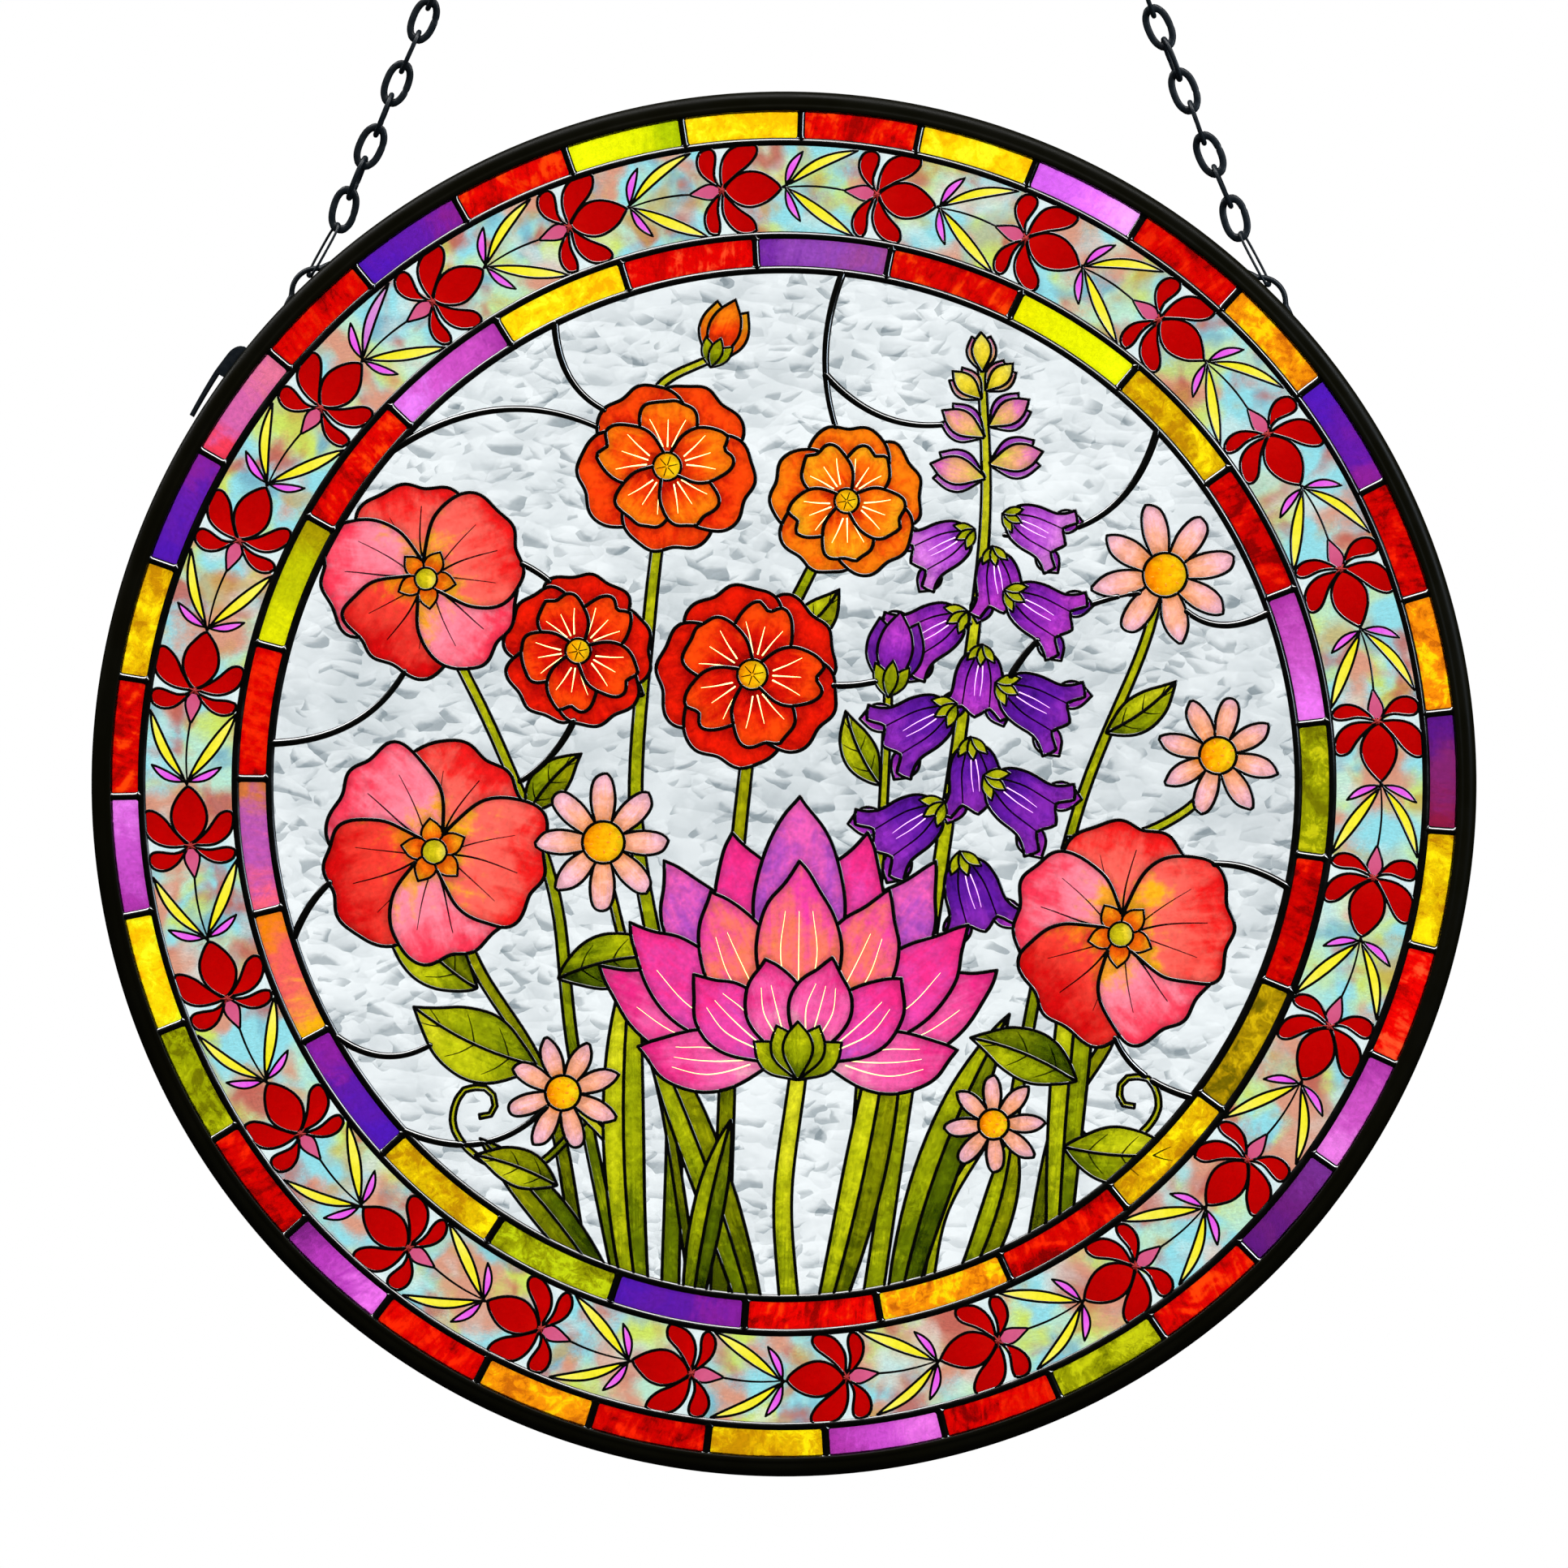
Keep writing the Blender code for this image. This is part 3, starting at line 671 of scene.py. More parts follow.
    def lotus(self, c, r, tiers):
        """A many-petalled bloom seen from the side. tiers: (angles, length, width, fill), back to front."""
        c = np.array(c, float)
        for angles, length, width, fills, kind, lift in tiers:
            for i, a in enumerate(angles):
                bend = (a - 90) * -0.34
                base = c + np.array([math.cos(math.radians(a)) * r * 0.10, lift * r])
                fill = fills[i % len(fills)]
                s = self.petal(kind, base, a, r * length, r * width, fill, bend=bend, ripple=0.02, waves=5)
                for v in (-0.17, 0.0, 0.17):
                    self.vein(s, base, a, r * length, r * width, bend, [(0.22, v * 0.5), (0.5, v * 1.25), (0.74, v * 0.95)], 0.3, 0.1, "cream")

    def lead(self, start, end, bulge, w=1.06):
        """A lead line from start to end, bowed to its left by bulge."""
        a, b = np.array(start, float), np.array(end, float)
        chord = float(np.hypot(*(b - a)))
        n = np.array([-(b - a)[1], (b - a)[0]]) / chord
        t = np.linspace(0, 1, 40)[:, None]
        pts = a + (b - a) * t + n * bulge * 4 * t * (1 - t)
        self.ground_lines.append(dict(pts=resample(pts, 0.25), w0=w * 1.4, w1=w * 0.92, tone="black"))


def half_x(half):
    return [h[0] for h in sorted(half)]


def half_y(half):
    return [h[1] for h in sorted(half)]


def thin(p, step):
    """Drops points that lie closer than step, but keeps corners."""
    p = np.asarray(p, float)
    d1 = p - np.roll(p, 1, axis=0)
    d2 = np.roll(p, -1, axis=0) - p
    a = np.abs((np.arctan2(d2[:, 1], d2[:, 0]) - np.arctan2(d1[:, 1], d1[:, 0]) + np.pi) % math.tau - np.pi)
    corner = a > 0.6
    out = [p[0]]
    for i in range(1, len(p)):
        gap = float(np.hypot(*(p[i] - out[-1])))
        if corner[i]:
            if gap < step * 0.3:
                out[-1] = p[i]
            else:
                out.append(p[i])
        elif gap >= step:
            out.append(p[i])
    if len(out) > 3 and float(np.hypot(*(out[-1] - out[0]))) < step * 0.45:
        out.pop()
    return np.array(out)


def ring_point(degrees, r=94.25):
    """A point on the edge of the picture, by its angle clockwise from the top."""
    a = math.radians(degrees)
    return (r * math.sin(a), r * math.cos(a))


def garden():
    """The picture: a bed of generic garden flowers on clear glass."""
    art = Art(11)
    P = ring_point
    # lead lines across the clear ground
    art.lead(P(-27), (-26, 66), -5)
    art.lead(P(6), (12, 58), -4)
    art.lead(P(-50), (-26, 60), 8)
    art.lead((7, 75), (36, 68), -5)
    art.lead(P(46), (40, 46), 7)
    art.lead(P(-86), (-66, 30), -7)
    art.lead(P(70), (69, 38), 5)
    art.lead((38, 12), (69, 36), 7)
    art.lead(P(-108), (-64, -14), 6)
    art.lead(P(101), (64, -22), -6)
    art.lead(P(-133), (-40, -56), -6)
    art.lead(P(-120), (-61, -46), -4)
    art.lead(P(127), (60, -34), 6)
    art.lead((-60, 42), (-36, 26), 5)
    art.lead((-2, 20), (34, 30), -6)
    art.lead((-36, 22), (-58, -4), 6)

    # ---- stems, back to front
    art.stem([(-20, -96), (-20, -50), (-27, -8), (-25, 30), (-22, 56)], 3.2, 1.9, STEM)
    art.stem([(-11, -96), (-10, -60), (-9, -20), (-6, 12)], 3.3, 2.2, OLIVE)
    art.stem([(-4, 22), (3, 36), (9, 48)], 2.2, 1.7, STEM)
    art.stem([(-22, 44), (-27, 58), (-24, 72), (-14, 78)], 1.8, 1.3, GREEN_LIGHT)
    art.stem([(-36, -90), (-43, -56), (-56, -34), (-62, -18)], 2.5, 1.9, OLIVE)
    art.stem([(-29, -93), (-38, -50), (-42, -20), (-52, 6), (-64, 30)], 2.3, 1.7, STEM)
    art.stem([(17, -95), (22, -60), (28, -20), (33.5, 20), (36.5, 50), (35.5, 78)], 3.6, 1.4, GREEN_LIGHT)
    art.stem([(12, -95), (15, -50), (18, -8), (19, 18)], 1.9, 1.4, STEM)
    art.stem([(46, -88), (51, -62), (60, -46), (62, -34)], 2.7, 2.1, OLIVE)
    art.stem([(38, -90), (46, -40), (54, -4), (65, 24), (68, 34)], 2.3, 1.6, STEM)
    art.stem([(52, -10), (64, -9), (74, -4), (79, 2)], 1.7, 1.4, GREEN_LIGHT)
    art.stem([(2, -97), (0.5, -76), (3, -54)], 3.5, 3.0, GREEN_LIGHT)
    art.stem([(-25, -94), (-29, -70), (-39, -58)], 1.8, 1.5, GREEN_LIGHT)
    art.stem([(-15, -97), (-21, -60), (-27, -38), (-33, -14)], 1.8, 1.4, OLIVE)
    art.stem([(27, -93), (30, -78), (38, -64)], 1.8, 1.4, GREEN_LIGHT)
    # tendrils
    art.stem([(-36, -62), (-45, -70.5), (-54.5, -69.5), (-60, -63.5), (-58.5, -57), (-53.5, -56.5), (-52.5, -60.5), (-55.2, -61.5)], 1.25, 0.8, STEM)
    art.stem([(50, -58), (57, -65), (64.5, -64.5), (69.2, -59), (67.5, -53.5), (62.8, -53.6), (62.2, -57.6), (64.8, -58.4)], 1.25, 0.8, STEM)

    # ---- leaves
    art.blade((-26, -95), 99, 66, 7.4, bend=-16, light=GREEN_LIGHT, dark=GREEN)
    art.blade((-5, -97), 105, 60, 7.2, bend=12, light=GREEN, dark=OLIVE)
    art.blade((9, -97), 74, 61, 7.6, bend=10, light=GREEN_LIGHT, dark=OLIVE)
    art.blade((22, -96), 80, 58, 7.8, bend=-20, light=GREEN, dark=GREEN_DARK)
    art.blade((51, -85), 88, 74, 6.8, bend=-6, light=GREEN_LIGHT, dark=GREEN)
    art.blade((-32, -93), 122, 36, 6.6, bend=16, light=OLIVE, dark=GREEN_DARK)
    art.blade((33, -94), 60, 33, 6.0, bend=26, light=GREEN, dark=OLIVE)
    art.blade((-16, -97), 84, 36, 5.6, bend=-10, light=GREEN, dark=GREEN_DARK)
    art.leaf((-45, -52), 168, 25, 13, bend=-26, light=GREEN_LIGHT, dark=GREEN)
    art.leaf((-41, -36), 26, 22, 10, bend=-30, light=GREEN, dark=GREEN_DARK)
    art.leaf((-56, -38), 150, 24, 11, bend=-34, light=GREEN_LIGHT, dark=OLIVE)
    art.leaf((52, -66), -14, 22, 10.5, bend=24, light=GREEN_LIGHT, dark=GREEN)
    art.leaf((54, -54), 146, 21, 9.5, bend=24, light=GREEN, dark=GREEN_DARK)
    art.leaf((-26, 16), 150, 17, 7.5, bend=-30, light=GREEN, dark=GREEN_DARK)
    art.leaf((0, 26), 30, 14, 6.6, bend=30, light=GREEN_LIGHT, dark=OLIVE)
    art.leaf((59, 10), 24, 16, 6.6, bend=26, light=GREEN_LIGHT, dark=GREEN)
    art.leaf((-47, -6), 62, 15, 6.6, bend=-26, light=GREEN, dark=OLIVE)
    art.leaf((17.5, 0), 128, 15, 6.4, bend=-26, light=GREEN_LIGHT, dark=GREEN)
    art.leaf((-41, -74), 150, 16, 7.0, bend=20, light=GREEN_LIGHT, dark=OLIVE)

    # ---- bellflower spire, top to bottom
    buds = (((35.6, 76), 92, 7.2), ((36.4, 72.5), 46, 7.0), ((35.4, 71), 136, 7.2))
    for at, a, size in buds:
        art.bud(at, a, size, size * 0.82, (YELLOW, YELLOW_PINK), sepals=False)
    buds = (((37, 66), 34, 8.8), ((36, 64), 148, 9.0), ((37.2, 59), 14, 10.0), ((36.2, 56.5), 166, 10.2))
    for at, a, size in buds:
        art.bud(at, a, size, size * 0.82, (YELLOW_PINK, LILAC), sepals=False)
    bells = [
        ((39.6, 50), -26, 13.0), ((34.6, 47), -152, 13.4), ((37.8, 44), -80, 12.6), ((40.0, 36), -30, 14.6),
        ((33.4, 32), -150, 14.8), ((36.2, 26), -96, 13.6), ((38.6, 19), -28, 15.6), ((31.6, 15), -150, 15.8),
        ((34.2, 9), -84, 14.4), ((36.6, 2), -34, 16.2), ((29.6, -3), -146, 16.0), ((32.4, -12), -72, 15.6),
    ]
    for k, (at, a, size) in enumerate(bells):
        fills = (LILAC, PURPLE) if k < 2 else (PURPLE, VIOLET) if k < 6 else (VIOLET, PURPLE)
        art.bell(at, a, size, size * 0.8, fills)
    art.bud((19, 17), 82, 15, 10.5, (PURPLE, VIOLET))

    # ---- poppies
    art.bud((-14, 77), 70, 12.5, 9.5, (RED_ORANGE, ORANGE))
    art.poppy((11, 52), 13.6, 20, ORANGE, RED_ORANGE)
    art.poppy((-22, 58), 15.6, 54, RED_ORANGE, RED)
    art.poppy((-38, 24), 14.0, 8, RED, RED_DEEP)
    art.poppy((-6, 20), 16.6, 36, RED, RED_DEEP)

    # ---- coral blooms
    art.mallow((-66, 37), 18.5, 98, 0.92)
    art.mallow((-64, -13), 20.5, 62, 0.95)
    art.mallow((62, -27), 20.5, 84, 0.95)

    # ---- pale daisies
    art.daisy((69.5, 39), 13.2, 12, 8)
    art.daisy((79.5, 6), 11.2, 30, 8)
    art.daisy((-33, -11), 12.6, 0, 8)
    art.daisy((-40, -57), 10.6, 18, 8)
    art.daisy((39, -62), 9.2, 4, 8)

    # ---- lotus in the middle
    art.lotus(
        (3, -50),
        34,
        [
            ((132, 48, 110, 70), 1.16, 0.44, (ROSE_VIOLET, ROSE_VIOLET, MAGENTA, MAGENTA), "point", 0.10),
            ((90,), 1.30, 0.5, (ROSE_VIOLET,), "point", 0.12),
            ((168, 12, 150, 30), 1.08, 0.40, (PINK, PINK, MAGENTA, MAGENTA), "point", 0.02),
            ((122, 58), 0.96, 0.42, (AMBER_PINK, AMBER_PINK), "point", 0.04),
            ((90,), 1.02, 0.46, (AMBER_PINK,), "point", 0.03),
            ((196, -16), 0.78, 0.34, (PINK, PINK), "point", 0.02),
            ((146, 34), 0.66, 0.36, (MAGENTA, MAGENTA), "point", -0.02),
            ((108, 72), 0.58, 0.34, (PINK, PINK), "point", -0.03),
        ],
    )
    for t in (140, 40, 112, 68, 90):
        art.petal("point", (3, -54), t, 10.5, 5.6, GREEN, group="leaves", line=0.6)
    return art


# ---------------------------------------------------------------- meshes, in millimetres from the disc's centre


def sweep_line(path, width, height, closed=False, foot=None, profile=None):
    """One raised line: a rounded ridge that follows the path on the glass, with round ends when it isn't closed."""
    foot = LINE_FOOT if foot is None else foot
    p = np.asarray(path, float)
    w = np.broadcast_to(np.asarray(width, float), (len(p),)).copy()
    step = np.roll(p, -1, axis=0) - p if closed else np.diff(p, axis=0)
    size = np.maximum(np.hypot(*step.T), 1e-9)[:, None]
    if closed:
        before, length = np.roll(step, 1, axis=0), np.roll(size, 1, axis=0)
        t = before / length * size + step / size * length
    else:
        t = np.vstack([step[:1], step[:-1] / size[:-1] * size[1:] + step[1:] / size[1:] * size[:-1], step[-1:]])
    t /= np.maximum(np.hypot(*t.T), 1e-9)[:, None]
    h = height * w
    if not closed:
        angles = np.radians([80.0, 38.0])
        s, e = p[0], p[-1]
        ps = np.array([s - t[0] * w[0] / 2 * math.sin(a) for a in angles])
        pe = np.array([e + t[-1] * w[-1] / 2 * math.sin(a) for a in angles[::-1]])
        ks, ke = np.cos(angles), np.cos(angles[::-1])
        p = np.vstack([ps, p, pe])
        t = np.vstack([np.repeat(t[:1], 2, 0), t, np.repeat(t[-1:], 2, 0)])
        h = np.concatenate([h[0] * ks, h, h[-1] * ke])
        w = np.concatenate([w[0] * ks, w, w[-1] * ke])
    n = np.column_stack([-t[:, 1], t[:, 0]])
    lateral, rise = LINE_PROFILE if profile is None else profile
    m = len(lateral)
    verts = np.empty((len(p), m, 3))
    verts[:, :, 0] = p[:, None, 0] + n[:, None, 0] * lateral[None] * w[:, None] / 2
    verts[:, :, 2] = p[:, None, 1] + n[:, None, 1] * lateral[None] * w[:, None] / 2
    verts[:, :, 1] = foot - rise[None] * h[:, None]
    rows = np.arange(len(p))
    nxt = np.roll(rows, -1) if closed else rows[1:]
    cur = rows if closed else rows[:-1]
    k = np.arange(m)
    k2 = np.roll(k, -1)
    quads = np.stack(
        [
            cur[:, None] * m + k[None],
            cur[:, None] * m + k2[None],
            nxt[:, None] * m + k2[None],
            nxt[:, None] * m + k[None],
        ],
        axis=-1,
    ).reshape(-1, 4)
    faces = [tuple(q) for q in quads.tolist()]
    if not closed:
        faces.append(tuple(range(m))[::-1])
        faces.append(tuple(range((len(p) - 1) * m, len(p) * m)))
    return verts.reshape(-1, 3), faces


def ridge_profile(steps=7, square=0.75):
    a = np.linspace(0, math.pi, steps)
    c, s = np.cos(a), np.sin(a)
    return np.sign(c) * np.abs(c) ** square, s**square


def bevel_profile(points):
    """Half a cross-section, (lateral, rise), mirrored."""
    return (
        np.array([a for a, _ in points] + [-a for a, _ in points[::-1]]),
        np.array([r for _, r in points] + [r for _, r in points[::-1]]),
    )


# a thick line of enamel has sloping shoulders and a flat crown
LINE_PROFILE = bevel_profile([(1.0, 0.0), (0.985, 0.22), (0.90, 0.35), (0.40, 0.88), (0.16, 1.0)])
DIVIDER_PROFILE = bevel_profile([(1.0, 0.0), (0.985, 0.18), (0.93, 0.28), (0.26, 0.94), (0.10, 1.0)])
ROUND_PROFILE = ridge_profile(6, 0.72)


class Piece:
    """Collects parts of one mesh, with optional colour attributes on every vertex."""

    def __init__(self, name, material, slot, tinted=False, extra=()):
        self.name, self.material, self.slot, self.tinted = name, material, slot, tinted
        self.extra = {key: [] for key in extra}
        self.verts, self.faces, self.count = [], [], 0
        self.tints, self.local = [], []

    def add(self, verts, faces, tints=None, local=None, extra=None):
        verts = np.asarray(verts, float)
        off = self.count
        self.verts.append(verts)
        self.faces += [tuple(i + off for i in f) for f in faces]
        self.count += len(verts)
        if self.tinted:
            self.tints.append(np.broadcast_to(np.array([linear(c) for c in tints]).reshape(1, 9), (len(verts), 9)))
            self.local.append(local)
        for key in self.extra:
            self.extra[key].append(extra[key])

    def make(self, replaces=(), sharp=38.0, smooth=True):
        v = np.vstack(self.verts) * MM + np.array(DISC)
        mesh = bpy.data.meshes.new(self.name)
        mesh.from_pydata(v.tolist(), [], self.faces)
        mesh.update()
        if self.tinted:
            tints = np.vstack(self.tints)
            for i, key in enumerate(("tint_a", "tint_b", "tint_c")):
                a = mesh.attributes.new(key, "FLOAT_COLOR", "POINT")
                rgba = np.ones((len(v), 4), np.float32)
                rgba[:, :3] = tints[:, 3 * i : 3 * i + 3]
                a.data.foreach_set("color", rgba.ravel())
            a = mesh.attributes.new("local", "FLOAT_VECTOR", "POINT")
            a.data.foreach_set("vector", np.vstack(self.local).astype(np.float32).ravel())
        for key, rows in self.extra.items():
            a = mesh.attributes.new(key, "FLOAT_VECTOR", "POINT")
            a.data.foreach_set("vector", np.vstack(rows).astype(np.float32).ravel())
        if smooth:
            mesh.shade_smooth()
            mesh.set_sharp_from_angle(angle=math.radians(sharp))
        obj = bpy.data.objects.new(self.name, mesh)
        mesh.materials.append(self.material)
        bpy.context.scene.collection.objects.link(obj)
        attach(obj, "root")
        for node in replaces:
            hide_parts(node)
        return obj


def plate(piece, flat, triangles, outline_edges, tints, local, extra=None):
    """A thin film of colour: flat (x, z) points and triangles, closed by walls along its outline."""
    n = len(flat)
    front = np.column_stack([flat[:, 0], np.full(n, PLATE_FRONT), flat[:, 1]])
    back = np.column_stack([flat[:, 0], np.full(n, PLATE_BACK), flat[:, 1]])
    faces = [(a, b, c) for a, b, c in triangles] + [(c + n, b + n, a + n) for a, b, c in triangles]
    faces += [(b, a, a + n, b + n) for a, b in outline_edges]
    extra = {key: np.vstack([value, value]) for key, value in (extra or {}).items()}
    piece.add(np.vstack([front, back]), faces, tints, np.vstack([local, local]), extra)


def split_corners(path, closed, limit=34.0):
    """Cuts a path into smooth runs where it turns sharply. Gives (points, is it a closed run)."""
    p = np.asarray(path, float)
    n = len(p)
    if closed:
        d1, d2 = p - np.roll(p, 1, axis=0), np.roll(p, -1, axis=0) - p
    else:
        d1 = np.vstack([p[1] - p[0], np.diff(p, axis=0)])
        d2 = np.vstack([np.diff(p, axis=0), p[-1] - p[-2]])
    turn = np.degrees(np.abs((np.arctan2(d2[:, 1], d2[:, 0]) - np.arctan2(d1[:, 1], d1[:, 0]) + np.pi) % math.tau - np.pi))
    cuts = [i for i in range(n) if turn[i] > limit]
    if not cuts:
        return [(p, closed)]
    out = []
    if closed:
        for a, b in zip(cuts, cuts[1:] + [cuts[0] + n]):
            out.append((p[[i % n for i in range(a, b + 1)]], False))
    else:
        ends = sorted(set([0, n - 1] + cuts))
        for a, b in zip(ends, ends[1:]):
            out.append((p[a : b + 1], False))
    return out


def sparse(p, slack=0.018):
    """Keeps as few points of an open run as its curve needs."""
    keep = np.zeros(len(p), bool)
    keep[[0, -1]] = True
    spans = [(0, len(p) - 1)]
    while spans:
        a, b = spans.pop()
        if b - a < 2:
            continue
        d = p[b] - p[a]
        q = p[a + 1 : b] - p[a]
        length = math.hypot(*d)
        off = np.abs(q[:, 0] * d[1] - q[:, 1] * d[0]) / length if length > 1e-9 else np.hypot(*q.T)
        k = int(off.argmax())
        if off[k] > slack:
            keep[a + 1 + k] = True
            spans += [(a, a + 1 + k), (a + 1 + k, b)]
    return keep


def soften(p, closed=False, step=0.3, rounds=5):
    """Evens out the small kinks of a run. An open run keeps its ends."""
    p = resample(p, step, closed)
    for _ in range(rounds):
        if closed:
            p = p * 0.5 + (np.roll(p, 1, axis=0) + np.roll(p, -1, axis=0)) * 0.25
        elif len(p) > 2:
            p = np.vstack([p[:1], p[1:-1] * 0.5 + (p[:-2] + p[2:]) * 0.25, p[-1:]])
    if closed:
        keep = sparse(np.vstack([p, p[:1]]))[:-1]
        half = sparse(np.roll(p, len(p) // 2, axis=0))
        return p[keep] if keep.sum() > 5 else p[::3] if half.sum() else p
    return p[sparse(p)]


def planar_map(shapes, ground, holes=(), grid=0.0):
    """Overlays painter's-order shapes on a ground. Gives flat points, each triangle's visible shape and the seams.

    ground and holes are outlines; shapes are dicts with "pts". Index 0 is the ground, k + 1 is shapes[k].
    A seam is (points, closed, owner, other) where owner is the shape that lies on top.
    """
    verts, faces = [], []
    for pts in [ground] + [s["pts"] for s in shapes] + list(holes):
        k = len(verts)
        verts += [Vector((float(a), float(b))) for a, b in pts]
        faces.append(list(range(k, k + len(pts))))
    if grid:  # points inside the shapes, so that their colour can change away from the outline
        reach = float(np.abs(ground).max())
        rows = np.arange(-reach, reach, grid * 0.866)
        dots = np.array([(x + 0.5 * grid * (k % 2), z) for k, z in enumerate(rows) for x in np.arange(-reach, reach, grid)])
        dots = dots[np.hypot(*dots.T) < reach - grid]
        wanted = np.zeros(len(dots), bool)
        for item in shapes:
            pts = np.asarray(item["pts"])
            near = np.flatnonzero(~wanted & (dots >= pts.min(0)).all(1) & (dots <= pts.max(0)).all(1))
            wanted[near] = inside(dots[near], pts)
        verts += [Vector((float(a), float(b))) for a, b in dots[wanted]]
    v, _, tris, _, _, sources = delaunay_2d_cdt(verts, [], faces, 0, 1e-4)
    flat = np.array([tuple(p) for p in v])
    last = len(shapes)
    visible, keep = [], []
    for tri, ids in zip(tris, sources):
        top = max(ids) if ids else -1
        if 0 not in ids or top > last:
            continue
        a, b, c = flat[tri[0]], flat[tri[1]], flat[tri[2]]
        cross = (b[0] - a[0]) * (c[1] - a[1]) - (b[1] - a[1]) * (c[0] - a[0])
        if abs(cross) < 1e-9:
            continue
        keep.append(tuple(tri) if cross > 0 else tuple(tri)[::-1])
        visible.append(top)
    sides = {}
    for tri, top in zip(keep, visible):
        for a, b in ((tri[0], tri[1]), (tri[1], tri[2]), (tri[2], tri[0])):
            sides.setdefault((min(a, b), max(a, b)), []).append(top)
    borders = {}
    for edge, tops in sides.items():
        if len(tops) == 2 and tops[0] != tops[1]:
            borders[edge] = (max(tops), min(tops))
    near = {}
    for a, b in borders:
        near.setdefault(a, []).append(b)
        near.setdefault(b, []).append(a)
    key = lambda a, b: (min(a, b), max(a, b))
    used, seams = set(), []

    def walk(start, nxt):
        chain = [start, nxt]
        pair = borders[key(start, nxt)]
        used.add(key(start, nxt))
        while True:
            here = chain[-1]
            go = [q for q in near[here] if key(here, q) not in used]
            if len(near[here]) != 2 or not go or borders[key(here, go[0])][0] != pair[0]:
                break
            used.add(key(here, go[0]))
            chain.append(go[0])
            if go[0] == start:
                break
        return chain, pair

    def joint(i):
        if len(near[i]) != 2:
            return True
        return borders[key(i, near[i][0])][0] != borders[key(i, near[i][1])][0]

    for i in near:
        if joint(i):
            for q in near[i]:
                if key(i, q) not in used:
                    chain, pair = walk(i, q)
                    seams.append((flat[chain], False, *pair))
    for a, b in borders:
        if (a, b) not in used:
            chain, pair = walk(a, b)
            loop = chain[-1] == chain[0] and len(chain) > 3
            seams.append((flat[chain[:-1]] if loop else flat[chain], loop, *pair))
    return flat, keep, visible, seams


def lay_plates(pieces, shapes, flat, triangles, visible):
    """Adds each shape's visible part to its piece as a film of colour."""
    by_shape = {}
    for tri, top in zip(triangles, visible):
        by_shape.setdefault(top, []).append(tri)
    for top, tris in by_shape.items():
        if top == 0 and 0 not in pieces:
            continue
        used = sorted({i for t in tris for i in t})
        index = {g: k for k, g in enumerate(used)}
        local_tris = [tuple(index[i] for i in t) for t in tris]
        directed = set()
        for a, b, c in local_tris:
            directed |= {(a, b), (b, c), (c, a)}
        outline = [(a, b) for a, b in directed if (b, a) not in directed]
        outline.sort()
        pts = flat[used]
        if top == 0:
            pieces[0].add_ground(pts, local_tris, outline)
            continue
        s = shapes[top - 1]
        u = (pts - s["base"]) @ s["axis"]
        v = (pts - s["base"]) @ s["side"]
        local = np.column_stack([u, v, np.full(len(pts), s["seed"])])
        ring = pts[sorted({i for e in outline for i in e})]
        off = np.array([np.hypot(*(ring - q).T).min() for q in pts])
        rim = np.column_stack([off, off, off])
        plate(pieces[s["group"]], pts, local_tris, outline, s["fill"], local, {"rim": rim})


def inside(points, outline):
    """Which points lie inside the outline."""
    x, y = points[:, 0], points[:, 1]
    hit = np.zeros(len(points), bool)
    a = np.asarray(outline)
    b = np.roll(a, -1, axis=0)
    for (x1, y1), (x2, y2) in zip(a, b):
        if y1 == y2:
            continue
        cross = ((y1 > y) != (y2 > y)) & (x < (x2 - x1) * (y - y1) / (y2 - y1) + x1)
        hit ^= cross
    return hit


def visible_runs(points, shapes, own, lo, hi):
    """The parts of a stroke of shape number own that no later shape hides. -1 is the ground."""
    p = np.asarray(points, float)
    bad = np.zeros(len(p), bool)
    if own >= 0:
        bad |= ~inside(p, shapes[own]["pts"])
    bx0, bz0 = p.min(0) - 0.1
    bx1, bz1 = p.max(0) + 0.1
    for k in range(own + 1, len(shapes)):
        if lo[k, 0] > bx1 or hi[k, 0] < bx0 or lo[k, 1] > bz1 or hi[k, 1] < bz0:
            continue
        bad |= inside(p, shapes[k]["pts"])
    runs, cur = [], []
    for i in range(len(p)):
        if bad[i]:
            if len(cur) > 1:
                runs.append(cur)
            cur = []
        else:
            cur.append(i)
    if len(cur) > 1:
        runs.append(cur)
    return runs


# ---------------------------------------------------------------- the finished pieces

rim_black = black_paint("black_rim_enamel", (0.0006, 0.0006, 0.0001), (0.0016, 0.0014, 0.0003), (0.34, 0.46), 0.05, 0.10, 0.0, 0.035)
line_black = black_paint("black_line_enamel", (0.0003, 0.0003, 0.0002), (0.0012, 0.0012, 0.0009), (0.09, 0.15), 0.2, 0.05, 0.0, 0.45)
ring_black = black_paint("black_ring_enamel", (0.0003, 0.0003, 0.0002), (0.0012, 0.0012, 0.0009), (0.11, 0.24), 0.12, 0.05, 0.0, 0.34)
chain_black = black_paint("blackened_chain_metal", (0.0008, 0.0016, 0.0024), (0.0024, 0.0042, 0.0060), (0.34, 0.48), 0.5, 0.2, 0.06, 0.13)
colour_glass = enamel("stained_colour", 1.0, 0.17, 0.34)
plain_glass = enamel("plain_border_colour", 0.5, 0.06, 0.10)
block_glass = streaky_block()
ground_glass = opal_ground()
clear_glass = clear_panel()
hammered_ground = hammered_film()


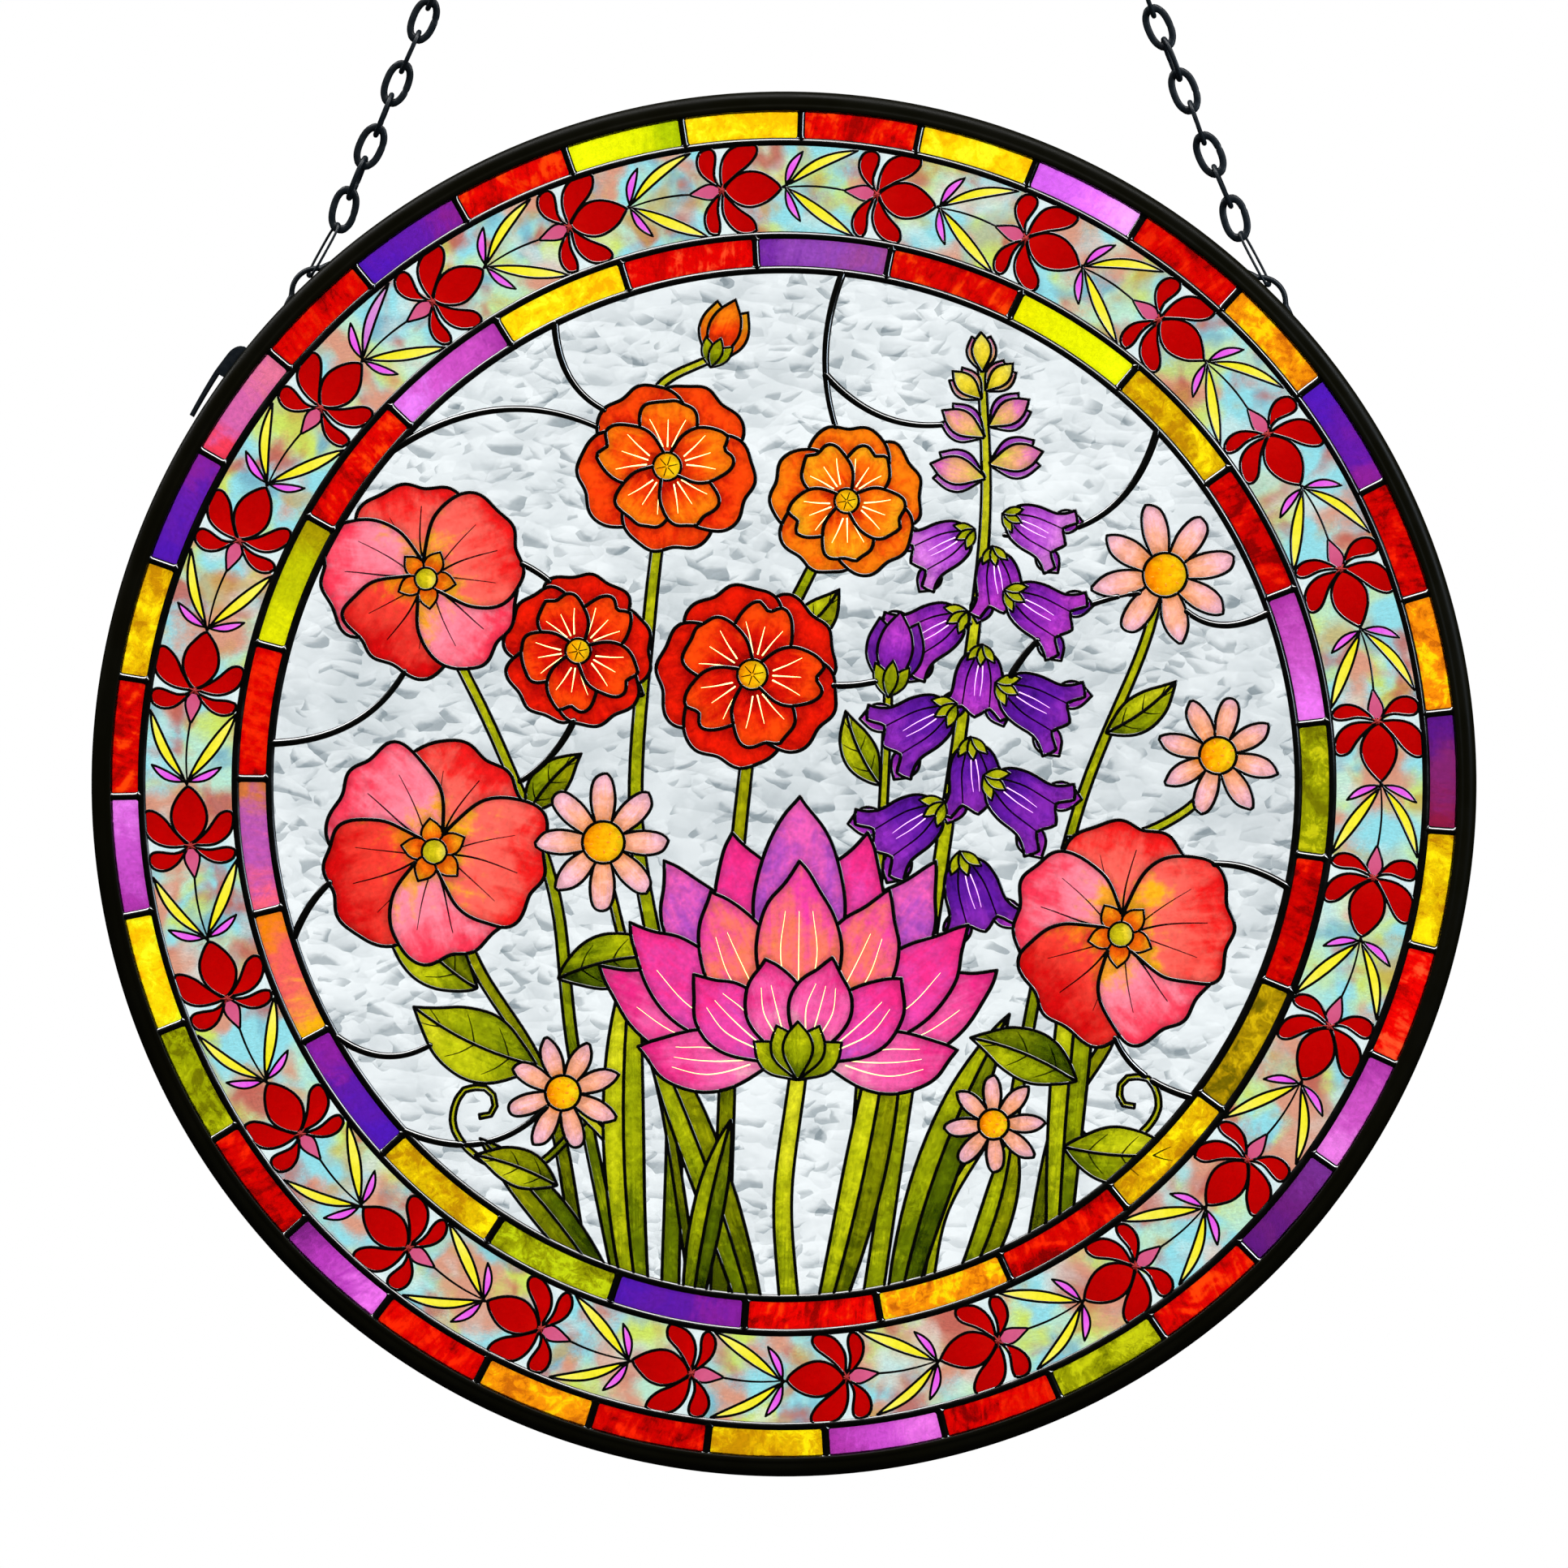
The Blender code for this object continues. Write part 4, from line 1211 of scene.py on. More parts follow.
def pale_line_painted_glow(name, colour, strength):
    n = Nodes(name, Roughness=0.6, Specular_IOR_Level=0.15)
    at = n.place()
    n.wire(n.mix(n.noise(at, 0.6, 3), tuple(0.82 * c for c in linear(colour)), linear(colour)), n.shader.inputs["Base Color"])
    # painted glow: the line emits light of its own colour, standing in for the light that shines through it
    n.wire(n.mix(n.noise(at, 0.6, 3), tuple(0.82 * c for c in linear(colour)), linear(colour)), n.shader.inputs["Emission Color"])
    n.shader.inputs["Emission Strength"].default_value = strength
    n.bump(n.noise(at, 2.0, 2), 0.1, 0.0001)
    return n.material


def on_disc(radius, degrees):
    """(x, z) at a radius and a clockwise angle from the top."""
    a = np.radians(degrees)
    return np.stack([radius * np.sin(a), radius * np.cos(a)], axis=-1)


def lathe_piece(name, profile, steps, material, slot, replaces=(), wobble=None):
    piece = Piece(name, material, slot)
    angles = np.linspace(0, 360, steps, endpoint=False)
    prof = np.array(profile)
    m = len(prof)
    verts = []
    for a in angles:
        xz = on_disc(1.0, a)
        for r, y in prof:
            verts.append((xz[0] * r, y, xz[1] * r))
    faces = []
    for i in range(steps):
        j = (i + 1) % steps
        for k in range(m):
            l = (k + 1) % m
            faces.append((i * m + k, i * m + l, j * m + l, j * m + k))
    piece.add(verts, faces)
    return piece.make(replaces)


def rounded(points, radius, steps=4):
    """Rounds the corners of a closed outline. radius is one number, or one for each corner."""
    out = []
    n = len(points)
    for i, p in enumerate(points):
        r = radius[i] if isinstance(radius, (list, tuple)) else radius
        p, a, b = (np.array(q, float) for q in (p, points[i - 1], points[(i + 1) % n]))
        da, db = (a - p) / np.hypot(*(a - p)), (b - p) / np.hypot(*(b - p))
        r = min(r, 0.45 * np.hypot(*(a - p)), 0.45 * np.hypot(*(b - p)))
        if r <= 0:
            out.append(tuple(p))
            continue
        s, e = p + da * r, p + db * r
        for k in range(steps + 1):
            t = k / steps
            out.append(tuple((1 - t) ** 2 * s + 2 * t * (1 - t) * p + t * t * e))
    return out


# rim: a rolled U channel with a faint bead along its lip
H = RIM_HALF
rim_outline = [
    (LIP_R, -2.24), (LIP_R - 0.02, -H + 0.1), (LIP_R + 0.7, -H), (LIP_R + 1.15, -H + 0.12), (RIM_R - 1.2, -H + 0.06), (RIM_R, -H + 0.9),
    (RIM_R, H - 0.9), (RIM_R - 1.2, H - 0.06), (LIP_R + 1.15, H - 0.12), (LIP_R + 0.7, H), (LIP_R - 0.02, H - 0.1), (LIP_R, 2.24),
    (RIM_R - 1.0, 2.24), (RIM_R - 1.0, -2.24),
]
lathe_piece("rim_channel", rounded(rim_outline, [0.1, 0.3, 0.3, 0.3, 1.0, 1.2, 1.2, 1.0, 0.3, 0.3, 0.3, 0.1, 0.1, 0.1], 3), 288, rim_black, "rim", ["rim"])


def tube(points, normals, binormals, half_a, half_b, sides, closed, power=1.0):
    """Skins round or flattened wire along 3-D points. half_a runs along the normals, half_b along the binormals."""
    n = len(points)
    half_a = np.broadcast_to(half_a, (n,))
    half_b = np.broadcast_to(half_b, (n,))
    verts = []
    for i in range(n):
        for k in range(sides):
            a = math.tau * k / sides
            c, s = math.cos(a), math.sin(a)
            c, s = math.copysign(abs(c) ** power, c), math.copysign(abs(s) ** power, s)
            verts.append(points[i] + normals[i] * half_a[i] * c + binormals[i] * half_b[i] * s)
    faces = []
    for i in range(n if closed else n - 1):
        j = (i + 1) % n
        for k in range(sides):
            l = (k + 1) % sides
            faces.append((i * sides + k, j * sides + k, j * sides + l, i * sides + l))
    if not closed:
        faces.append(tuple(range(sides)))
        faces.append(tuple(range((n - 1) * sides, n * sides))[::-1])
    return np.array(verts), faces


# loops: bent wire soldered to the rim, with fillets at the feet
for name, side in (("rim_loop_left", -1), ("rim_loop_right", 1)):
    piece = Piece(name + "_wire", chain_black, "rim")
    centre = on_disc(124.45, side * 44.15)
    up, along = on_disc(1.0, side * 44.15), on_disc(1.0, side * 44.15 + 90)
    arc = np.radians(np.linspace(-66, 66, 41))
    pts, nor, bi, half = [], [], [], []
    for a in arc:
        d = along * math.sin(a) + up * math.cos(a)
        q = centre + d * 4.5
        flare = max(0.0, (abs(math.degrees(a)) - 40) / 26)
        q = q + along * math.copysign(0.55 * flare**2, a)
        pts.append(np.array([q[0], 0, q[1]]))
        nor.append(np.array([d[0], 0, d[1]]))
        bi.append(np.array([0.0, 1.0, 0.0]))
        half.append(0.5 + 0.42 * flare**2.2)
    v, f = tube(pts, nor, bi, np.array(half), np.minimum(np.array(half), 0.85), 14, False)
    piece.add(v, f)
    # the seam of solder under each foot
    for s in (-1, 1):
        foot = []
        for t in np.linspace(0, 1, 9):
            ang = side * 44.15 + s * (1.62 + 1.35 * t)
            foot.append(on_disc(RIM_R + 0.12 - 0.42 * t, ang))
        pts = [np.array([q[0], 0, q[1]]) for q in foot]
        nor = [np.array([q[0], 0, q[1]]) / np.hypot(*q) for q in foot]
        size = 0.62 * np.cos(np.linspace(0, 1, 9) * 1.35)
        v, f = tube(pts, nor, bi[:9], size, size * 1.1, 12, False)
        piece.add(v, f)
    piece.make([name])

# clip: a flat spring leaf with a solid foot
clip_outline = []
top_edge, low_edge = [], []
for i in range(41):
    f = i / 40
    angle = 51.5 + 7.2 * f
    nose = min(1.0, (angle - 51.5) / 1.3)
    rise = 1.94 * math.sqrt(max(0.0, 1 - (1 - nose) ** 2)) if nose < 1 else 1.94
    fade = max(0.0, (angle - 54.6) / (58.7 - 54.6))
    rise += (1.30 - 1.94) * fade
    rise = max(rise, 0.3)
    top_edge.append(on_disc(RIM_R + rise, -angle))
    if angle <= 54.55:
        low_edge.append(on_disc(RIM_R - 0.25, -angle))
    else:
        if len(low_edge) and not any(isinstance(q, tuple) for q in low_edge):
            low_edge.append(tuple(on_disc(RIM_R - 0.25, -54.56)))
            low_edge.append(tuple(on_disc(RIM_R + 1.94 - 0.86, -54.62)))
        thick = 0.80 - 0.16 * fade
        low_edge.append(tuple(on_disc(RIM_R + rise - thick, -angle)))
clip_outline = [tuple(q) for q in top_edge] + [tuple(q) for q in low_edge[::-1]]


def slab(piece, outline, y0, y1, bevel=0.22):
    """A flat bar cut to an outline, with rounded long edges."""
    bm = bmesh.new()
    vs = [bm.verts.new((x, y0, z)) for x, z in outline]
    face = bm.faces.new(vs)
    out = bmesh.ops.extrude_face_region(bm, geom=[face])
    moved = [g for g in out["geom"] if isinstance(g, bmesh.types.BMVert)]
    bmesh.ops.translate(bm, verts=moved, vec=(0, y1 - y0, 0))
    bmesh.ops.recalc_face_normals(bm, faces=bm.faces)
    rim_edges = [e for e in bm.edges if abs(e.verts[0].co.y - e.verts[1].co.y) < 1e-6]
    bmesh.ops.bevel(bm, geom=rim_edges, offset=bevel, segments=3, profile=0.5, affect="EDGES", clamp_overlap=True)
    bmesh.ops.triangulate(bm, faces=[f for f in bm.faces if len(f.verts) > 4])
    bm.verts.ensure_lookup_table()
    piece.add([tuple(v.co) for v in bm.verts], [tuple(v.index for v in f.verts) for f in bm.faces])
    bm.free()


clip = Piece("rim_clip_leaf", chain_black, "rim")
slab(clip, clip_outline, -2.0, 2.0)
clip.make(["rim_clip"], sharp=30)


# ---- chains
LINK_L, LINK_W, WIRE_W, WIRE_T = 8.66, 5.60, 1.25, 0.86
END_WIRE, END_L, END_W, END_LEAN, END_TURN, END_DROP = 0.5, 11.25, 4.8, 28.5, 72.5, 1.47
PITCH = LINK_L - 2 * WIRE_W + 0.12
FIRST_LOW = -(END_WIRE + WIRE_W) / 2 + 0.12
RING_REL = Vector((0, 0, (0 - DISC.z) / MM - 6.2))


def link_mesh(length, width, half_a, half_b, steps, sides, square=2.4, power=0.85, seam=None, swell=0.0):
    """An oval link in its own XZ plane, its length along Z. The wire is flattened where it was pressed."""
    a, b = width / 2 - half_a, length / 2 - half_a
    t = np.linspace(0, math.tau, 400, endpoint=False)
    c, s = np.cos(t), np.sin(t)
    oval = np.column_stack([np.sign(c) * np.abs(c) ** (2 / square) * a, np.sign(s) * np.abs(s) ** (2 / square) * b])
    around = float(np.hypot(*(np.roll(oval, -1, axis=0) - oval).T).sum())
    p = resample(oval, around / steps, True)
    d = np.roll(p, -1, axis=0) - np.roll(p, 1, axis=0)
    d /= np.hypot(*d.T)[:, None]
    zero, one = np.zeros(len(p)), np.ones(len(p))
    points = np.column_stack([p[:, 0], zero, p[:, 1]])
    normals = np.column_stack([d[:, 1], zero, -d[:, 0]])
    across = np.column_stack([zero, one, zero])
    k = one.copy()
    if seam is not None:
        k -= 0.16 * np.exp(-(((p[:, 1] - seam) / 0.22) ** 2)) * (p[:, 0] > 0)
    k += swell * np.clip((np.abs(p[:, 1]) / b - 0.84) / 0.14, 0, 1)
    return tube(points, normals, across, half_a * k, half_b * k, sides, True, power)


def put(piece, mesh, matrix):
    v, f = mesh
    m = np.array(matrix)
    piece.add(v @ m[:3, :3].T + m[:3, 3], f)


rng = random.Random(4)
for name, side in (("chain_left", -1), ("chain_right", 1)):
    piece = Piece(name + "_links", chain_black, "chain")
    axis, along = on_disc(1.0, side * 44.15), on_disc(1.0, side * (44.15 - 90.0))
    a = math.radians(36.0)
    hook = axis * (124.45 + 4.5 * math.cos(a)) + along * (4.5 * math.sin(a))
    hook = Vector((hook[0], 0, hook[1]))
    lean = -side * math.radians(END_LEAN)
    out = Vector((math.sin(lean), 0, math.cos(lean)))
    middle = hook + out * ((END_L - END_WIRE) / 2 - END_DROP)
    end = link_mesh(END_L, END_W, END_WIRE / 2, END_WIRE / 2, 72, 12, square=3.0, power=1.0, seam=0.5, swell=0.75)
    put(piece, end, Matrix.Translation(middle) @ Matrix.Rotation(lean, 4, "Y") @ Matrix.Rotation(side * math.radians(END_TURN), 4, "Z"))
    start = hook + out * (END_L - END_WIRE - END_DROP)
    line = RING_REL - start
    base = Matrix.Translation(start) @ Matrix.Rotation(math.atan2(line.x, line.z), 4, "Y")
    for i in range(34):
        link = link_mesh(LINK_L, LINK_W * 0.945, (WIRE_W + 0.07) / 2, WIRE_T / 2, 46, 10, square=2.35, power=0.82, seam=rng.uniform(-1.2, 1.2), swell=0.22)
        height = FIRST_LOW + (LINK_L - WIRE_W) / 2 + PITCH * i
        turn = math.radians((0.0 if i % 2 == 0 else 90.0) + rng.uniform(-7, 7))
        tilt = math.radians(rng.uniform(-2.2, 2.2) + (7.0 * side if i == 0 else 0.0))  # the lowest link hangs more upright
        put(
            piece, link,
            base @ Matrix.Translation((0, 0, height)) @ Matrix.Rotation(tilt, 4, "Y") @ Matrix.Rotation(turn, 4, "Z"),
        )
    piece.make([name], sharp=45)

# hanging ring
piece = Piece("hanging_ring_wire", chain_black, "chain")
ring = link_mesh(15.6, 15.6, 0.8, 0.8, 110, 16, square=2.0, power=1.0, seam=None)
put(piece, ring, Matrix.Translation((0, 0, RING_REL.z)))
piece.make(["hanging_ring"], sharp=45)


# ---- glass panel: flat in front, rippled at the back
def smooth_noise(x, z, cell, seed):
    """Value noise with soft steps, from a seeded lattice."""
    gen = np.random.default_rng(seed)
    n = int(300 / cell) + 4
    table = gen.uniform(-1, 1, (n, n))
    fx, fz = (x + 150) / cell, (z + 150) / cell
    ix, iz = np.floor(fx).astype(int), np.floor(fz).astype(int)
    tx, tz = fx - ix, fz - iz
    tx, tz = tx * tx * (3 - 2 * tx), tz * tz * (3 - 2 * tz)
    a, b = table[iz, ix], table[iz, ix + 1]
    c, d = table[iz + 1, ix], table[iz + 1, ix + 1]
    return (a * (1 - tx) + b * tx) * (1 - tz) + (c * (1 - tx) + d * tx) * tz


def panel_piece():
    rings = 112
    radii = list(np.linspace(0, 1, rings + 1)[1:] * 123.9)
    around = 320
    verts = [(0.0, 0.0)]
    for r in radii:
        for i in range(around):
            a = math.tau * i / around
            verts.append((r * math.sin(a), r * math.cos(a)))
    flat = np.array(verts)
    x, z = flat[:, 0], flat[:, 1]
    tilt = 0.25 * x
    relief = smooth_noise(x * 0.6, z + tilt, 3.4, 5) * 0.13 + smooth_noise(x * 0.55 + 7, z - tilt, 1.9, 6) * 0.07
    relief += smooth_noise(x + 3, z, 9.0, 7) * 0.08
    fade = np.clip((122.5 - np.hypot(x, z)) / 4.0, 0, 1)
    back = 1.74 + relief * fade
    body = np.column_stack([x, back, z])
    faces = []
    for i in range(around):
        j = (i + 1) % around
        faces.append((0, 1 + i, 1 + j))
    for k in range(rings - 1):
        o, q = 1 + k * around, 1 + (k + 1) * around
        for i in range(around):
            j = (i + 1) % around
            faces.append((o + i, q + i, q + j, o + j))
    # round the ground edge and over the front
    ring_from = 1 + (rings - 1) * around
    extra = [(124.6, 1.74), (125.35, 1.7), (GLASS_R, 1.3), (GLASS_R, -1.6), (125.3, GLASS_FRONT), (125.1, GLASS_FRONT), (60.0, GLASS_FRONT)]
    angles = np.linspace(0, math.tau, around, endpoint=False)
    rows = [np.column_stack([r * np.sin(angles), np.full(around, y), r * np.cos(angles)]) for r, y in extra]
    total = len(body)
    prev = ring_from
    for row in rows:
        here = total
        total += around
        for i in range(around):
            j = (i + 1) % around
            faces.append((prev + i, here + i, here + j, prev + j))
        prev = here
    centre = total
    for i in range(around):
        j = (i + 1) % around
        faces.append((prev + i, centre, prev + j))
    piece = Piece("glass_panel_rippled", clear_glass, "glass")
    piece.add(np.vstack([body, *rows, [(0.0, GLASS_FRONT, 0.0)]]), faces)
    return piece.make(["glass_panel"], sharp=30)


panel_piece()

# ---- border blocks
RED_A = ((156, 3, 1), (220, 4, 1), (252, 66, 6))
RED_B = ((136, 1, 1), (210, 2, 0), (240, 36, 3))
RED_C = ((182, 2, 1), (226, 3, 1), (254, 84, 40))
VIOLET_A = ((78, 24, 174), (96, 27, 160), (134, 32, 150))
VIOLET_C = ((92, 24, 122), (104, 30, 124), (122, 46, 136))
VIOLET_B = ((112, 40, 158), (146, 72, 178), (156, 72, 154))
PLUM = ((86, 22, 124), (130, 38, 106), (144, 26, 66))
ORCHID = ((170, 54, 168), (200, 80, 196), (228, 122, 230))
ORCHID_DEEP = ((122, 36, 130), (178, 58, 182), (234, 118, 240))
ORCHID_PALE = ((214, 92, 226), (240, 124, 246), (250, 164, 250))
ROSE = ((238, 62, 84), (206, 94, 162), (220, 112, 148))
AMBER = ((196, 138, 4), (228, 176, 4), (255, 226, 10))
AMBER_YELLOW = ((250, 184, 4), (254, 222, 8), (255, 242, 30))
AMBER_ORANGE = ((206, 104, 8), (240, 146, 8), (255, 206, 8))
LIME = ((180, 200, 4), (226, 238, 6), (244, 250, 10))
LIME_FLAT = ((230, 232, 2), (238, 240, 4), (244, 248, 10))
LIME_OLIVE = ((168, 154, 4), (192, 192, 6), (218, 228, 6))
OLIVE_BLOCK = ((112, 112, 2), (152, 156, 4), (196, 200, 16))
OLIVE_AMBER = ((118, 98, 2), (164, 130, 4), (204, 178, 10))
PEACH = ((246, 176, 4), (241, 90, 90), (238, 128, 10))
PINK_BLOCK = ((248, 96, 128), (186, 82, 168), (210, 118, 60))

OUTER = [  # clockwise from the top; "<" turns a graded block's run round
    RED_A, AMBER_YELLOW, ORCHID_PALE, RED_B, AMBER_ORANGE, VIOLET_A, RED_B, AMBER_ORANGE, PLUM, AMBER, RED_C, ORCHID,
    (VIOLET_C, "<"), RED_A, OLIVE_BLOCK, RED_B, (ORCHID, "<"), AMBER, RED_B, AMBER_ORANGE, RED_B, (ORCHID_DEEP, "<"),
    RED_B, OLIVE_BLOCK, AMBER_YELLOW, ORCHID, RED_A, AMBER, VIOLET_A, ROSE, RED_B, VIOLET_A, RED_A, (LIME, "<"),
    AMBER_YELLOW,
]
INNER = [
    RED_A, LIME_FLAT, AMBER, RED_B, ORCHID, OLIVE_BLOCK, RED_B, OLIVE_AMBER, AMBER, RED_B, AMBER_ORANGE, RED_A,
    (VIOLET_A, "<"), OLIVE_BLOCK, AMBER, VIOLET_A, PEACH, PINK_BLOCK, RED_B, (LIME_OLIVE, "<"), RED_A, (ORCHID, "<"),
    AMBER_YELLOW, RED_C, VIOLET_B,
]
OUTER_FIRST, OUTER_STEP = 1.5 + TURN, 360.0 / 35
INNER_FIRST, INNER_STEP = 11.4 + TURN, 360.0 / 25
LINE_1, LINE_2, LINE_3 = 117.75, 100.6, 94.3  # the three ring lines, at their middles


STREAKED = (RED_A, RED_B, RED_C)
GRADED = (
    VIOLET_A, VIOLET_B, VIOLET_C, PLUM, ORCHID, ORCHID_DEEP, ORCHID_PALE, ROSE, PEACH, PINK_BLOCK, LIME, LIME_FLAT,
    LIME_OLIVE,
)


def block_ring(name, colours, first, step, r0, r1, lit0, lit1, seed):
    """A ring of coloured blocks. lit0 and lit1 are the radii between which the lines leave them free."""
    piece = Piece(name, block_glass, "glass", tinted=True, extra=("block",))
    gen = random.Random(seed)
    for k, tints in enumerate(colours):
        flip = tints[-1] == "<"
        tints = tints[0] if flip else tints
        a0, a1 = first + step * k + 0.05, first + step * (k + 1) - 0.05
        n, m = 22, 6
        flat, local, block = [], [], []
        mid = (r0 + r1) / 2
        key = gen.random()
        tint = [tuple(max(0, min(255, c * gen.uniform(0.96, 1.04))) for c in t) for t in tints]
        length = math.radians(a1 - a0) * mid
        for i in range(n + 1):
            for j in range(m + 1):
                f = 0.5 - 0.5 * math.cos(math.pi * i / n)
                f = 0.5 * f + 0.5 * i / n
                a = a0 + (a1 - a0) * f
                r = r0 + (r1 - r0) * j / m
                flat.append(on_disc(r, a))
                u = f * length
                local.append((u, r - r0, key + k))
                near = min(u - 0.55, length - u - 0.55, r - lit0, lit1 - r)
                block.append((1 - f if flip else f, near, 1.0 if tints in GRADED else 0.0 if tints in STREAKED else -1.0))
        tris = []
        for i in range(n):
            for j in range(m):
                p, q = i * (m + 1) + j, (i + 1) * (m + 1) + j
                tris += [(p, q, q + 1), (p, q + 1, p + 1)]
        flat = np.array(flat)
        a, b, c = flat[tris[0][0]], flat[tris[0][1]], flat[tris[0][2]]
        if (b[0] - a[0]) * (c[1] - a[1]) - (b[1] - a[1]) * (c[0] - a[0]) < 0:
            tris = [t[::-1] for t in tris]
        directed = set()
        for x, y, z in tris:
            directed |= {(x, y), (y, z), (z, x)}
        outline = sorted((x, y) for x, y in directed if (y, x) not in directed)
        plate(piece, flat, tris, outline, tint, np.array(local), {"block": np.array(block)})
    return piece.make()


block_ring("border_blocks_outer", OUTER, OUTER_FIRST, OUTER_STEP, LINE_1, LIP_R + 0.8, LINE_1 + 0.6, LIP_R, 3)
block_ring("border_blocks_inner", INNER, INNER_FIRST, INNER_STEP, LINE_3, LINE_2 - 0.1, LINE_3 + 0.58, LINE_2 - 0.58, 8)

circle = lambda r, n: on_disc(r, np.linspace(0, 360, n, endpoint=False))
lines = Piece("border_ring_lines", ring_black, "rim")
for r, w in ((LINE_1, 1.46), (LINE_2, 1.42), (LINE_3, 1.46)):
    v, f = sweep_line(circle(r, 420), w, 0.33, closed=True)
    lines.add(v, f)
lines.make()


def flared(first, last, low, high, width, fillet=0.50):
    """Radii and widths of a divider that widens into the black at both ends, so that the block corners are rounded."""
    steps = np.array([0.0, 0.10, 0.26, 0.55, 1.0]) * fillet
    wide = width + 2 * (fillet - np.sqrt(fillet**2 - (fillet - steps) ** 2))
    radii = np.concatenate([[first], low + steps, np.linspace(low, high, 6)[1:-1], (high - steps)[::-1], [last]])
    return radii, np.concatenate([[0.9], wide, np.full(4, width), wide[::-1], [0.9]])


dividers = Piece("border_dividers", line_black, "rim")
for count, turn, step, first, last, low, high, width in (
    (35, OUTER_FIRST, OUTER_STEP, LINE_1, LIP_R + 0.3, LINE_1 + 0.66, LIP_R, 1.42),
    (25, INNER_FIRST, INNER_STEP, LINE_3, LINE_2, LINE_3 + 0.66, LINE_2 - 0.64, 1.40),
):
    radii, widths = flared(first, last, low, high, width)
    for k in range(count):
        path = np.array([on_disc(r, turn + step * k) for r in radii])
        v, f = sweep_line(path, widths, 0.36 * width / widths, profile=DIVIDER_PROFILE)
        dividers.add(v, f)
dividers.make()


# ---- border band: a running vine of red blossoms
UNIT_STEP, FIRST_JOINT, MID_R = 15.0, -6.0 + TURN, 109.4
BAND_IN, BAND_OUT = LINE_2, LINE_1
BLOSSOM = ((200, 6, 2), (193, 0, 0), (182, 0, 0))
CALYX = ((218, 98, 140), (216, 94, 138), (210, 84, 126))
POCKET = ((222, 238, 240), (206, 232, 236), (228, 240, 240))
LEAF_YELLOW = ((244, 232, 22), (251, 239, 50), (253, 244, 108))
LEAF_PINK = ((226, 84, 226), (238, 96, 238), (244, 130, 240))
LEAF_PALE_PINK = ((206, 104, 210), (222, 138, 222), (226, 160, 214))
ODD_LEAF = 21

PETALS = {  # closed curves round the joint: (along the vine, outward), in millimetres
    "front": [(0.4, 0.1), (1.3, 1.2), (2.9, 2.45), (5.0, 3.1), (7.2, 2.8), (9.2, 1.75), (10.6, 0.6), (11.05, -0.1), (10.5, -0.9), (9.0, -2.2), (6.9, -3.2), (4.7, -3.45), (2.7, -2.7), (1.2, -1.4)],
    "fore_out": [(0.2, 0.6), (0.0, 2.2), (0.25, 4.3), (1.0, 6.2), (2.4, 7.6), (4.3, 8.15), (6.2, 8.1), (6.9, 7.3), (6.5, 5.8), (5.1, 4.2), (3.2, 2.9), (1.4, 1.5)],
    "back_out": [(-0.3, 0.6), (-1.9, 1.7), (-3.3, 3.2), (-3.9, 5.1), (-3.5, 6.8), (-2.4, 7.7), (-1.1, 7.7), (-0.45, 6.8), (-0.6, 5.2), (-1.05, 3.4), (-0.9, 1.6)],
    "fore_in": [(0.3, -0.5), (-0.1, -2.2), (-0.2, -4.2), (0.5, -6.1), (1.9, -7.6), (3.8, -8.3), (5.5, -8.2), (6.1, -7.2), (5.4, -5.6), (3.8, -4.4), (2.3, -3.1), (1.1, -1.6)],
    "back_in": [(-0.3, -0.6), (-1.9, -1.8), (-3.4, -3.6), (-3.9, -5.7), (-3.4, -7.3), (-2.2, -8.1), (-1.2, -7.6), (-0.9, -5.9), (-1.15, -4.1), (-0.8, -2.0)],
}


def along_vine(points, joint):
    """Points given along the vine and outward from a joint, laid round the disc."""
    p = np.asarray(points, float)
    return on_disc(MID_R + p[:, 1], joint + np.degrees(p[:, 0] / MID_R))


